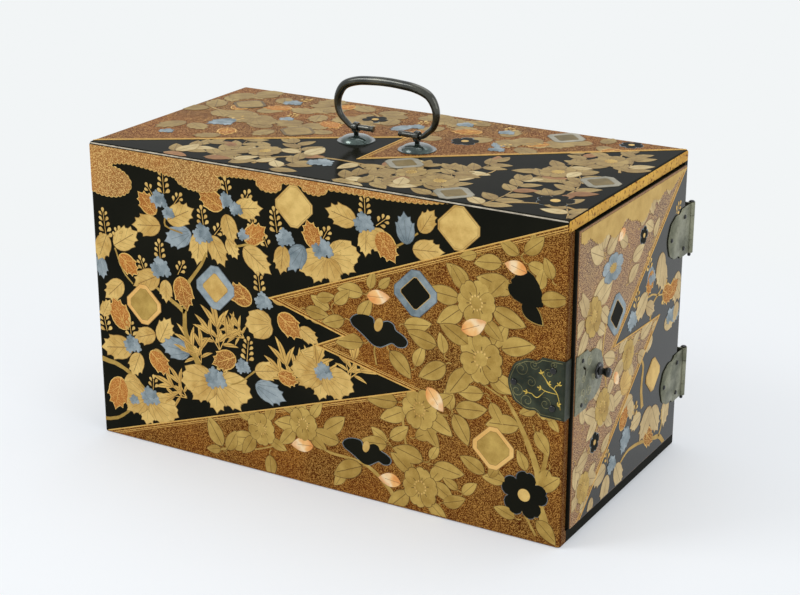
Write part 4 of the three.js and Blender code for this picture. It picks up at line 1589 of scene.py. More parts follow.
    def raceme(self, spot: Spot) -> None:
        """Lays a spike of plump buds in pairs beside a thin stalk.

        Args:
            spot: Its place.
        """
        *base, angle, length = spot
        length *= 1.12
        tip = stepped(base, angle, length - 5.0)
        self.outline(LINE_GOLD, band((base, tip), start=0.6, end=0.5), Rise.RIM)
        for k in range(max(1, round((length - 6.0) / 4.6))):
            fork = stepped(base, angle, length - 8.0 - 4.8 * k)
            for side in (-1, 1):
                place = stepped(fork, angle + side * 62, 1.7)
                bud = (*place, angle + side * (36 + 7 * k), min(6.4, 4.6 + 0.5 * k))
                self.lay("bud", PLAIN_GOLD, bud, Rise.BRANCH, 0.92)
        self.lay("bud", PLAIN_GOLD, (*tip, angle, 5.2), Rise.BRANCH)

    def clump(self, spot: Spot) -> None:
        """Lays bamboo grass: thin stems with fans of long slender blades.

        Args:
            spot: Its place.
        """
        *base, angle, length = spot
        for lean, share in self.STEMS:
            way, reach = angle + lean, length * share
            tip = stepped(base, way, reach * 0.56)
            self.outline(LINE_GOLD, band((base, tip), start=0.9, end=0.6), Rise.STEM, base)
            for along, turn, size in self.BLADES:
                shape = "blade_left" if turn > 0 else "blade_right"
                blade = (*stepped(base, way, reach * along), way + turn, reach * size)
                self.lay(shape, BLADE_GOLD, blade, Rise.LEAF, 1.3)

    def sprig(self, spot: Spot) -> None:
        """Lays a twig with pointed leaves on alternate sides.

        Args:
            spot: Its place.
        """
        *base, angle, length = spot
        path = [stepped(base, angle + 20 * (t - 0.5), length * t) for t in (0, 0.2, 0.4, 0.6, 0.8, 1)]
        self.outline(self.design.wood, band(path, start=1.7, end=0.7), Rise.STEM, base)
        leaves = max(5, round(length / 6.5))
        for k in range(leaves):
            t = (k + 0.6) / leaves
            shape, side = ("oval_left", 1) if k % 2 else ("oval_right", -1)
            finish = {3: self.design.stray, 7: PALE_GOLD}.get(self.count % 9, self.design.oval)
            leaf = (*path[min(5, int(t * 5.999))], angle + side * (62 - 26 * t), 25 - 6 * t)
            self.lay(shape, finish, leaf, Rise.LEAF)
        self.lay("oval_left", self.design.oval, (*path[-1], angle + 8, 20), Rise.LEAF)

    def flower(self, finish: Finish, spot: Spot, flat: float = 1.0, petals: int = 5) -> None:
        """Lays an open camellia: overlapping round petals, stamens and heart.

        Args:
            finish: Its petals' finish.
            spot: Its middle, the way it leans to, and its size across.
            flat: How much it is foreshortened along the way it leans to.
            petals: How many petals it has.
        """
        *base, angle, size = spot
        lean = self.leaning(angle, flat)
        turns = [angle + 360 * k / petals for k in range(petals)]
        dark = finish is BLACK_GROUND
        if dark:
            for turn in turns:
                rim = (*base, turn, size / 2 + 0.5)
                self.lay("round_petal", SILVER_PLAIN, rim, Rise.RIM, 0.96 + 1.6 / size, lean=lean)
        for turn in turns:
            petal = (*base, turn, size / 2)
            self.lay("round_petal", finish, petal, Rise.PETAL, 0.96 if dark else 1.04, lean=lean)
        if not dark:
            self.lay("stamens", PLAIN_GOLD, (*base, angle, size * 0.38), Rise.STAMENS, lean=lean)
        heart = PLAIN_GOLD if dark else OLD_PLAIN
        self.lay("disc", heart, (*base, angle, size * 0.28), Rise.HEART, lean=lean)

    def camellia(self, spot: Spot) -> None:
        """Lays an open gold camellia on a ring of its own leaves.

        Args:
            spot: Its place.
        """
        *base, angle, size = spot
        for k, turn in enumerate(self.RING_TURNS):
            foot = stepped(base, angle + turn, size * 0.4)
            leaf = (*foot, angle + turn + 14, size * (0.72 + 0.08 * (k % 3)))
            self.lay("oval_left" if k % 2 else "oval_right", self.design.oval, leaf, Rise.LEAF)
        self.flower(self.design.bloom, (*base, angle, size * 1.16), 0.88, 6)

    def side_bloom(self, spot: Spot) -> None:
        """Lays a dark camellia seen from its side, with a gold heart in its notch.

        Args:
            spot: Its place.
        """
        *base, angle, size = spot
        self.lay("side_bloom_rim", SILVER_PLAIN, spot, Rise.RIM)
        self.lay("side_bloom", BLACK_GROUND, spot, Rise.PETAL)
        heart = stepped(base, angle + 90, size * 0.1)
        self.lay("disc", PLAIN_GOLD, (*heart, angle + 70, size * 0.24), Rise.STAMENS, 0.6)

    def bloom_bud(self, spot: Spot) -> None:
        """Lays a half-open dark camellia of two long petals with a pointed leaf below.

        Args:
            spot: Its place.
        """
        *base, angle, size = spot
        for finish, margin, rise in ((OLD_PLAIN, 0.7, Rise.RIM), (BLACK_GROUND, 0.0, Rise.PETAL)):
            for turn in (-11, 9):
                petal = (*base, angle + turn, size + margin)
                self.lay("round_petal", finish, petal, rise, 0.66 + margin / size)
            foot = stepped(stepped(base, angle, size * 0.46), angle + 90, size * 0.26)
            leaf = (*foot, angle + 168, size * 0.74 + 2 * margin)
            self.lay("oval_left", finish, leaf, rise + 0.01, 1 + 3.2 * margin / size)

    def cartouche(self, row: tuple[float, float, float, str]) -> None:
        """Lays a cut-corner diamond with a rim and a bare middle.

        Args:
            row: Its middle, height and kind.
        """
        u, v, size, kind = row
        rim, field_finish, share = self.CARTOUCHES[kind]
        self.lay("cartouche", rim, (u, v, 0.0, size), Rise.FRAME, trimmed=False)
        if kind == "dark":
            line = (u, v, 0.0, size * share + 1.2)
            self.lay("inner_cartouche", PLAIN_GOLD, line, Rise.FRAME_LINE, trimmed=False)
        shape = "inner_cartouche" if share < self.SMALL_FIELD else "cartouche"
        self.lay(shape, field_finish, (u, v, 0.0, size * share), Rise.FIELD, trimmed=False)

    def borders(self) -> None:
        """Lays the gold line along the lightning bolt, and two thin ones beside it."""
        points = self.line.points
        self.outline(LINE_GOLD, band(points, start=1.2, end=1.2), Rise.STAMENS, bevel=0.1)
        for width, shift in self.SIDE_LINES:
            self.outline(LINE_GOLD, band(points, width, width, shift), Rise.LINE, bevel=0.05)

    def cloud(self, outline: Sequence[Point]) -> None:
        """Lays a flaked cloud over a slightly larger gold one, a little above the last cloud.

        Args:
            outline: Its outline, counter-clockwise.
        """
        self.clouds += 1
        lift = self.CLOUD_STEP * self.clouds
        self.outline(PLAIN_GOLD, grown(outline, margin=0.7), Rise.CLOUD_RIM + lift)
        self.outline(CLOUD, outline, Rise.CLOUD + lift)

    def decorate(self) -> list[Piece]:
        """Lays the whole design.

        Returns:
            One object for each finish.
        """
        plan = self.design
        for path, start, end in plan.branches:
            strip = band(smooth_path(path, steps=4), start, end, knots=0.12)
            self.outline(plan.wood, strip, Rise.BRANCH, path[0])
        self.borders()
        for draw, rows in (
                (self.clump, plan.grass), (self.sprig, plan.sprigs), (self.fan, plan.fans),
                (partial(self.leaf, "broad", plan.leafing), plan.gold_leaves),
                (partial(self.leaf, "round", plan.fanned), plan.round_leaves),
                (partial(self.leaf, "broad", FLECKED_LEAF), plan.flecked_leaves),
                (partial(self.leaf, "broad", SILVER), plan.silver_leaves),
                (self.oval, enumerate(plan.ovals)), (self.raceme, plan.racemes),
                (self.blossom, plan.blossoms), (self.camellia, plan.gold_camellias),
                (partial(self.flower, BLACK_GROUND), plan.black_camellias),
                (partial(self.flower, SILVER, flat=0.6), plan.silver_camellias),
                (self.side_bloom, plan.side_flowers), (self.bloom_bud, plan.dark_buds),
                (partial(self.lay, "petal", plan.petal, rise=Rise.STAMENS), plan.petals),
                (partial(self.outline, plan.wood, rise=Rise.CLOUD_RIM), plan.foliage),
                (self.cloud, plan.clouds), (self.cartouche, plan.cartouches)):
            for row in rows:
                draw(row)
        made = []
        for key, parts in self.parts.items():
            obj = Bench.join(f"{self.name}_{key}", parts)
            obj.data.transform(self.matrix())
            made.append(Bench.dress(obj, self.finishes[key], Slot.LACQUER, self.body))
        return made


SCALLOP_PITCH = 4.4
SCALLOP_DEPTH = 1.3
SCALLOP_STEPS = 5
LOBE_STEPS = 160
HANGING_STEPS = 24


def scallops(path: Sequence[Point]) -> list[Point]:
    """Even arcs along a path that bulge to its right, without the path's last point.

    Args:
        path: The path to follow.

    Returns:
        The points of the arcs.
    """
    ways = [Vector(spot) for spot in path]
    marks = [ways[0]]
    for spot in ways[1:]:
        if (spot - marks[-1]).length >= SCALLOP_PITCH:
            marks.append(spot)
    marks[-1] = ways[-1]
    made = []
    for a, b in zip(marks, marks[1:]):
        across = Vector(((b - a).y, -(b - a).x)).normalized()
        for step in range(SCALLOP_STEPS):
            share = step / SCALLOP_STEPS
            made.append(tuple(a.lerp(b, share) + across * SCALLOP_DEPTH * math.sin(math.pi * share)))
    return made


def lobe(u: float, v: float, wide: float, tall: float) -> tuple[Point, ...]:
    """A scalloped oval cloud about a middle, with its half width and half height."""
    turns = [2 * math.pi * step / LOBE_STEPS for step in range(LOBE_STEPS + 1)]
    return tuple(scallops([(u + wide * math.cos(a), v + tall * math.sin(a)) for a in turns]))


def hanging(edge: Sequence[Point], top: float) -> tuple[Point, ...]:
    """A cloud band under a straight top, whose lower edge runs in scallops through points."""
    return (*scallops(smooth_path(edge, HANGING_STEPS)), edge[-1], (edge[-1][0], top), (edge[0][0], top))


FRONT_DESIGN = Design(
    gold_leaves=((-153, 206, 187, 29), (-146, 212, 27, 30), (-76, 233, 9, 27), (-85, 227, 286, 24),
        (-68, 201, 325, 31), (-28, 209, 262, 24), (42, 240, 166, 28), (51, 236, 268, 22),
        (100, 241, 58, 22), (93, 226, 4, 27), (-205, 180, 32, 30), (-212, 189, 246, 26),
        (-197, 148, 222, 26), (-157, 161, 207, 30), (-150, 158, 268, 20), (-160, 99, 62, 26),
        (-164, 106, 200, 24), (-60, 92, 12, 25), (-41, 160, 22, 22), (-14, 140, 330, 20),
        (-112, 207, 262, 28), (-101, 206, 298, 27), (-222, 112, 60, 18), (-84, 206, 300, 18),
        (-190, 88, 190, 34), (-182, 84, 246, 24), (-165, 92, 290, 22)),
    round_leaves=((-42, 138, 192, 27), (-12, 118, 20, 24), (70, 232, 200, 20), (-187, 60, 230, 18)),
    flecked_leaves=((-158, 216, 136, 22), (-88, 232, 156, 24), (-66, 207, 36, 23), (4, 212, 112, 22),
        (62, 235, 304, 25), (-199, 172, 322, 22), (-196, 104, 116, 28), (-135, 163, 283, 27),
        (-62, 153, 154, 24), (-34, 148, 322, 25), (-80, 101, 205, 24), (-36, 94, 350, 18),
        (-170, 88, 318, 24), (-205, 56, 255, 30)),
    silver_leaves=((-121, 205, 203, 29), (-8, 212, 236, 27), (-127, 96, 178, 30), (-60, 80, 344, 30),
        (88, 229, 96, 25), (-222, 168, 280, 20)),
    fans=((14, 207, 292, 31), (-101, 74, 270, 37), (-175, 42, 262, 33), (8, 104, 262, 31)),
    blossoms=((-154, 229, 15), (-144, 219, 11), (-109, 206, 17), (-84, 239, 13), (-74, 233, 11),
        (-67, 212, 10), (-26, 216, 15), (49, 241, 16), (10, 213, 17), (-155, 168, 18), (-49, 157, 15),
        (-190, 91, 16), (-101, 77, 19), (-72, 94, 13), (-173, 45, 17), (-191, 38, 9), (9, 106, 15)),
    racemes=((-148, 235, 92, 20), (-139, 226, 52, 14), (-160, 232, 125, 11), (-108, 212, 96, 17),
        (-97, 207, 50, 13), (-82, 243, 100, 15), (-67, 238, 62, 14), (-58, 215, 92, 14), (-34, 219, 98, 20),
        (-44, 205, 115, 12), (9, 219, 60, 14), (20, 212, 40, 12), (50, 246, 92, 17), (60, 240, 38, 14),
        (-213, 186, 95, 24), (-203, 184, 70, 14), (-155, 175, 92, 17), (-137, 165, 62, 14),
        (-172, 161, 112, 14), (-52, 161, 96, 19), (-68, 98, 84, 22), (-191, 98, 94, 16), (-170, 50, 84, 15),
        (-218, 98, 100, 20), (-90, 82, 130, 12)),
    grass=((-96, 104, 92, 37), (-116, 88, 118, 31), (-24, 86, 100, 34), (-4, 96, 62, 30),
        (-133, 52, 150, 30), (34, 105, 70, 30), (-70, 120, 150, 22)),
    ovals=((186, 237, 152, 18), (190, 239, 40, 20), (193, 231, 344, 19), (172, 228, 186, 22),
        (199, 243, 98, 12), (182, 206, 164, 29), (204, 204, 12, 22), (203, 212, 78, 16),
        (136, 193, 176, 26), (164, 190, 338, 27), (140, 201, 124, 19), (85, 162, 8, 23), (44, 158, 62, 20),
        (48, 139, 186, 24), (72, 137, 318, 25), (48, 181, 176, 22), (54, 186, 78, 14), (62, 189, 40, 13),
        (116, 150, 168, 25), (122, 144, 100, 16), (172, 158, 18, 27), (152, 134, 204, 24),
        (124, 136, 216, 26), (162, 132, 338, 22), (129, 97, 102, 19), (132, 100, 6, 26), (131, 95, 302, 25),
        (80, 94, 184, 26), (104, 91, 332, 27), (84, 103, 108, 17), (24, 46, 172, 24), (46, 29, 204, 28),
        (70, 57, 152, 16), (72, 60, 36, 20), (70, 54, 186, 22), (104, 47, 166, 26), (110, 50, 62, 14),
        (113, 46, 352, 25), (112, 30, 330, 22), (136, 29, 150, 14), (140, 26, 48, 16), (190, 97, 186, 27),
        (203, 96, 306, 20), (160, 49, 152, 22), (164, 47, 60, 14), (178, 46, 176, 18), (207, 46, 40, 22),
        (188, 17, 162, 18), (206, 20, 318, 22), (196, 60, 112, 16), (-96, 14, 122, 26), (-92, 12, 60, 20),
        (-98, 12, 196, 14), (-86, 16, 24, 16), (-62, 30, 190, 22), (-60, 42, 104, 16), (-47, 18, 274, 20),
        (-12, 50, 178, 26), (-16, 56, 78, 18), (8, 52, 36, 24), (-4, 150, 14, 18), (-8, 158, 352, 20),
        (16, 162, 158, 18), (20, 168, 40, 18), (30, 156, 200, 20), (3, 170, 10, 16), (158, 118, 190, 22),
        (164, 112, 300, 18), (96, 66, 30, 20), (122, 14, 20, 20), (28, 20, 240, 16), (216, 66, 250, 22),
        (150, 232, 200, 14), (214, 222, 110, 16), (96, 128, 70, 18)),
    gold_camellias=((150, 192, 10, 33), (155, 146, 25, 37), (100, 92, 0, 32), (101, 23, 15, 32),
        (-55, 40, 30, 27), (-12, 54, 20, 27), (212, 118, 0, 20)),
    black_camellias=((195, 39, 12, 40),),
    side_flowers=((62, 152, 0, 53), (50, 43, 4, 46)),
    dark_buds=((207, 199, 143, 32),),
    wood=OLD_PLAIN,
    petals=((51, 180, 4, 22), (193, 224, 164, 20), (137, 167, 24, 25), (107, 113, 306, 24),
        (83, 22, 176, 22), (-2, 36, 186, 23)),
    cartouches=((-175, 131, 37, "amber"), (-98, 160, 39, "silver"), (-17, 244, 36, "gold"),
        (134, 250, 37, "gold"), (96, 190, 39, "dark"), (167, 73, 37, "amber")),
    branches=(
        (((-104, 66), (-120, 88), (-131, 112), (-131, 136), (-128, 156), (-112, 178), (-106, 190)),
         6.0, 2.2),
        (((-131, 132), (-148, 142), (-162, 150)), 4.6, 2.4),
        (((-146, 218), (-148, 207), (-130, 203)), 1.8, 1.6),
        (((-227, 71), (-206, 68), (-190, 60), (-178, 50)), 5.0, 2.4),
        (((-76, 200), (-62, 204), (-50, 200)), 2.2, 1.6),
        (((-227, 12), (-212, 16), (-200, 24), (-190, 34)), 3.6, 2.0),
        (((-204, 178), (-196, 158), (-186, 148)), 1.8, 1.4),
        (((60, 222), (80, 227), (98, 240)), 2.2, 1.6),
        (((-60, 92), (-74, 80), (-86, 74)), 1.8, 1.2),
        (((216, 10), (207, 40), (206, 62), (197, 84), (188, 102), (176, 120)), 8.0, 2.4),
        (((208, 56), (213, 76), (208, 98)), 4.6, 2.6),
        (((150, 76), (176, 50), (196, 22), (206, 6)), 1.6, 2.4),
        (((78, 6), (66, 20), (46, 32), (14, 34), (0, 40)), 4.4, 1.6),
        (((126, 92), (112, 90), (96, 80)), 1.8, 1.2),
        (((84, 88), (86, 66), (90, 48), (96, 36)), 2.6, 1.8),
        (((60, 122), (58, 136), (64, 146)), 1.6, 1.6),
        (((140, 132), (156, 126), (178, 116)), 2.0, 1.4),
        (((-100, 10), (-80, 18), (-60, 20), (-36, 30)), 1.8, 1.4),
    ),
    clouds=(
        hanging(((-229, 247), (-214, 250), (-200, 255), (-186, 257), (-168, 256), (-150, 254), (-134, 252),
            (-118, 254), (-96, 259), (-78, 261), (-60, 262), (-40, 262), (-20, 263), (0, 263), (30, 264),
            (70, 264), (104, 266), (126, 270)), 271.0),
        lobe(-209, 238, 26, 13),
        lobe(-112, 252, 23, 8.5),
        lobe(-41, 259, 12, 5.5),
        lobe(3, 262, 12, 4.5),
    ),
)

TOP_DESIGN = Design(
    gold_leaves=((-206, 30, 200, 30), (-204, 36, 120, 30), (-196, 28, 320, 26), (-196, -20, 250, 30),
        (-188, -22, 330, 26), (-160, 40, 60, 30), (-160, 34, 200, 28), (-150, 32, 310, 28),
        (-176, 100, 200, 26), (-168, 98, 300, 24), (-112, 62, 170, 28), (-108, 70, 60, 26),
        (-104, 60, 290, 26), (-118, 0, 170, 26), (-112, -6, 260, 24), (-70, 92, 150, 28), (-62, 90, 30, 26),
        (-66, 84, 270, 24), (-40, 50, 200, 24), (-34, 56, 100, 26), (-22, 92, 30, 28), (-30, 88, 180, 26),
        (14, 76, 240, 26), (22, 82, 350, 26), (20, 90, 120, 22), (32, 40, 190, 26), (70, 62, 220, 28),
        (78, 66, 320, 26), (74, 74, 90, 26), (100, 48, 330, 26), (98, 54, 170, 24), (150, 92, 200, 26),
        (158, 96, 90, 20), (158, 88, 320, 22), (-140, -44, 210, 24), (-130, 100, 20, 26),
        (-216, 84, 300, 26), (46, 100, 160, 24), (-60, 10, 190, 22)),
    flecked_leaves=((-182, 38, 100, 24), (-140, 66, 200, 24), (-88, 40, 330, 24), (0, 56, 300, 24),
        (50, 78, 200, 24), (120, 70, 200, 24), (-150, -20, 300, 22), (-96, 104, 250, 22),
        (176, 86, 250, 20)),
    silver_leaves=((-160, 8, 240, 28), (-14, 66, 250, 22), (84, 40, 100, 20)),
    blossoms=((-165, -6, 18), (-190, -55, 12), (-122, 32, 12), (-150, 85, 16), (-8, 66, 14), (26, 94, 14),
        (70, 88, 13), (88, 34, 13), (-18, -74, 20)),
    racemes=((-164, 4, 70, 18), (-122, 38, 110, 14), (-150, 92, 60, 14), (-8, 72, 100, 15),
        (26, 100, 60, 12), (88, 40, 80, 14), (70, 94, 120, 12)),
    sprigs=((-150, -113, 62, 46), (-112, -108, 78, 60), (-84, -112, 110, 50), (-44, -112, 76, 44),
        (-46, -66, 118, 40), (16, -112, 62, 56), (30, -112, 30, 46), (62, -104, 84, 62),
        (104, -110, 96, 74), (92, -50, 66, 50), (150, -112, 82, 72), (150, -30, 66, 56), (196, -56, 96, 56),
        (206, 26, 96, 54), (222, -112, 118, 60), (176, 20, 112, 40), (8, -60, 320, 34)),
    gold_camellias=((-78, -68, 10, 28), (92, -72, 30, 30), (162, -2, 0, 30), (186, 48, 20, 30),
        (60, -62, 10, 26)),
    black_camellias=((-53, 70, 0, 24), (52, 44, 30, 24), (180, 104, 0, 20), (195, -76, 20, 30)),
    wood=Powder("top_wood", bright=tint(190, 160, 98), worn=tint(156, 126, 70)),
    leafing=TOP_GOLD,
    fanned=TOP_FAN,
    oval=TOP_GOLD,
    stray=COPPER,
    bloom=TOP_PETAL,
    petal=PALE_GOLD,
    fans=((-150, 22, 250, 31), (-62, 66, 300, 30), (-112, 92, 200, 28), (8, 102, 250, 28),
        (112, 76, 280, 28), (-200, 96, 320, 27), (-100, 24, 270, 27)),
    petals=((-142, -106, 80, 28), (-42, -62, 84, 28), (-66, -100, 60, 20), (70, -100, 108, 24),
        (178, 6, 260, 20)),
    cartouches=((-182, 60, 33, "umber"), (-90, 0, 33, "umber"), (122, 98, 34, "dull"),
        (42, -42, 34, "dull"), (118, -97, 34, "dull"), (204, -12, 34, "dull")),
    branches=(
        (((-66, -104), (-62, -82), (-40, -66), (-14, -60), (20, -62), (60, -66), (90, -84)), 3.6, 2.6),
        (((90, -84), (104, -60), (116, -30), (112, -4)), 2.4, 1.2),
        (((150, -112), (176, -92), (204, -86), (226, -92)), 2.2, 3.2),
        (((206, 20), (196, 44), (186, 70), (192, 86)), 2.4, 1.4),
        (((-214, 40), (-196, 30), (-170, 36)), 3.0, 1.8), (((-120, 60), (-106, 66), (-84, 62)), 2.4, 1.6),
        (((-66, 88), (-46, 74), (-30, 60)), 2.4, 1.4), (((14, 80), (40, 70), (74, 66)), 2.4, 1.6)),
)

DOOR_DESIGN = Design(
    gold_leaves=((-74, 259, 262, 17), (-56, 259, 280, 20), (-40, 259, 258, 16), (-22, 259, 276, 15),
        (12, 259, 262, 22), (30, 259, 282, 24), (48, 259, 262, 18), (66, 259, 280, 16), (60, 196, 262, 30),
        (32, 168, 214, 28), (30, 158, 330, 20), (62, 186, 280, 26), (98, 168, 262, 28), (92, 160, 310, 24),
        (72, 126, 6, 24), (48, 124, 196, 20), (10, 84, 196, 24), (6, 82, 280, 18), (52, 60, 226, 32),
        (54, 58, 300, 30), (86, 56, 262, 26), (-40, 40, 190, 26), (-36, 32, 250, 26), (-20, 34, 300, 26),
        (-66, 24, 250, 16), (30, 60, 190, 22), (100, 140, 250, 18)),
    round_leaves=((-16, 100, 20, 24),),
    flecked_leaves=((40, 186, 250, 20), (66, 160, 330, 22), (80, 150, 30, 20), (-12, 62, 60, 20),
        (40, 40, 320, 22)),
    silver_leaves=((4, 60, 238, 24), (38, 190, 262, 22), (84, 134, 340, 22)),
    blossoms=((2, 154, 16), (40, 180, 12), (84, 132, 13), (-2, 52, 17), (-28, 38, 15)),
    racemes=((34, 186, 100, 17), (8, 162, 80, 16), (70, 146, 84, 20), (-36, 42, 110, 14), (86, 222, 40, 12),
        (14, 62, 70, 14)),
    ovals=((-60, 226, 156, 26), (-62, 232, 118, 18), (-62, 232, 66, 22), (-56, 228, 24, 24),
        (-14, 224, 150, 20), (-4, 208, 10, 22), (-52, 206, 200, 24), (-92, 184, 206, 20),
        (-88, 186, 118, 22), (-66, 190, 22, 24), (-62, 184, 320, 22), (-84, 170, 250, 26),
        (10, 232, 40, 20), (38, 222, 150, 18), (40, 214, 60, 16), (46, 210, 300, 18), (-10, 190, 30, 20),
        (-60, 160, 250, 22), (-30, 132, 160, 22), (-24, 134, 30, 20), (-10, 124, 200, 24),
        (16, 120, 330, 22), (20, 132, 20, 24), (44, 134, 350, 18), (-44, 112, 210, 24), (-40, 104, 300, 20),
        (-34, 92, 10, 22), (-64, 92, 150, 24), (-60, 84, 20, 24), (-76, 66, 190, 22), (-88, 96, 100, 20),
        (-92, 54, 60, 20), (-80, 46, 340, 22), (-96, 30, 70, 22), (-90, 22, 0, 20), (-100, 66, 270, 20),
        (0, 140, 70, 6), (-52, 58, 30, 18)),
    gold_camellias=((-76, 182, 20, 30), (-4, 126, 0, 24), (-52, 98, 10, 28), (-84, 40, 0, 24)),
    black_camellias=((18, 222, 0, 15), (-65, 72, 20, 17)),
    silver_camellias=((-42, 212, 90, 40),),
    foliage=(
        hanging(((-104, 251), (-96, 247), (-88, 250), (-78, 244), (-66, 240), (-54, 244), (-42, 237),
            (-30, 240), (-20, 247), (-8, 242), (2, 240), (14, 235), (24, 239), (34, 248), (48, 245),
            (60, 250), (74, 247), (90, 254), (104, 256)), 258.5),
    ),
    wood=Powder("door_gold", bright=tint(206, 172, 98), worn=tint(178, 142, 68), outlined=0.5),
    leafing=DOOR_GOLD,
    oval=DOOR_GOLD,
    stray=DOOR_GOLD,
    bare=((-95.3, 136.0, 8.0),),
    petals=((-20, 238, 200, 16), (-30, 120, 300, 16)),
    cartouches=((-31, 170, 35, "dark"), (52, 89, 30, "gold")),
    branches=((((90, 6), (76, 22), (56, 28), (32, 34), (6, 37), (-10, 32)), 5.0, 2.2),
        (((72, 24), (78, 34), (76, 48)), 2.6, 1.6), (((32, 66), (28, 84), (30, 104), (24, 112)), 5.4, 2.4),
        (((40, 142), (46, 156), (62, 164), (64, 184)), 2.6, 1.8),
        (((16, 162), (40, 164), (60, 158), (106, 150)), 1.8, 1.4),
        (((-56, 220), (-60, 200), (-70, 186)), 1.8, 1.4),
        (((-50, 172), (-56, 140), (-46, 112), (-60, 84), (-84, 62)), 2.2, 1.6)),
)


@dataclass
class Decoration:
    """The painted design of the five outer faces, in millimetres.

    Attributes:
        margin: How far the motifs stay from a face's edge.
        room: How far they stay below the front's top edge.
    """

    margin: float = 1.6
    room: float = 2.2

    def build(self) -> None:
        """Decorates the faces; the hidden sides carry the same designs, turned round."""
        book = MotifBook()
        book.model()
        length, width = high("front_side_board", 0), high("back_side_board", 1)
        height, face = high("top_board", 2), high("door_panel", 0)
        long, wide = length - self.margin, width - self.margin
        east, north, top = Vector((1, 0, 0)), Vector((0, 1, 0)), Vector((0, 0, 1))
        front = Panel("front", "cabinet", Vector((0, -width, 0)), east, top, (-long, self.margin),
                      (long, height - self.room), FRONT_LINE, FRONT_DESIGN, book)
        lid = Panel("top", "cabinet", Vector((0, 0, height)), east, north, (-long, -wide), (long, wide),
                    TOP_LINE, TOP_DESIGN, book)
        door = Panel("door", "door", Vector((face, 0, 0)), north, top,
                     tuple(low("door_panel", axis) + self.margin for axis in (1, 2)),
                     tuple(high("door_panel", axis) - self.margin for axis in (1, 2)),
                     DOOR_LINE, DOOR_DESIGN, book)
        turn = Matrix.Rotation(math.pi, 4, "Z")
        for obj in front.decorate():
            self.repeat(obj, "front", "back", turn)
        lid.decorate()
        step = Matrix.Translation(((face - length) * MM, 0.0, 0.0))
        for obj in door.decorate():
            self.repeat(obj, "door", "far_end", step @ turn)
        book.discard()

    def repeat(self, obj: Piece, old: str, new: str, place: Matrix) -> None:
        """Copies a face's motifs to the opposite face.

        Args:
            obj: The motifs of one finish.
            old: Their face's name.
            new: The opposite face's name.
            place: The move between the two.
        """
        copy = Bench.copy_of(obj, obj.name.replace(old, new, 1))
        Bench.settle(copy, place)
        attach(copy, "cabinet")


# ---- Fittings ----


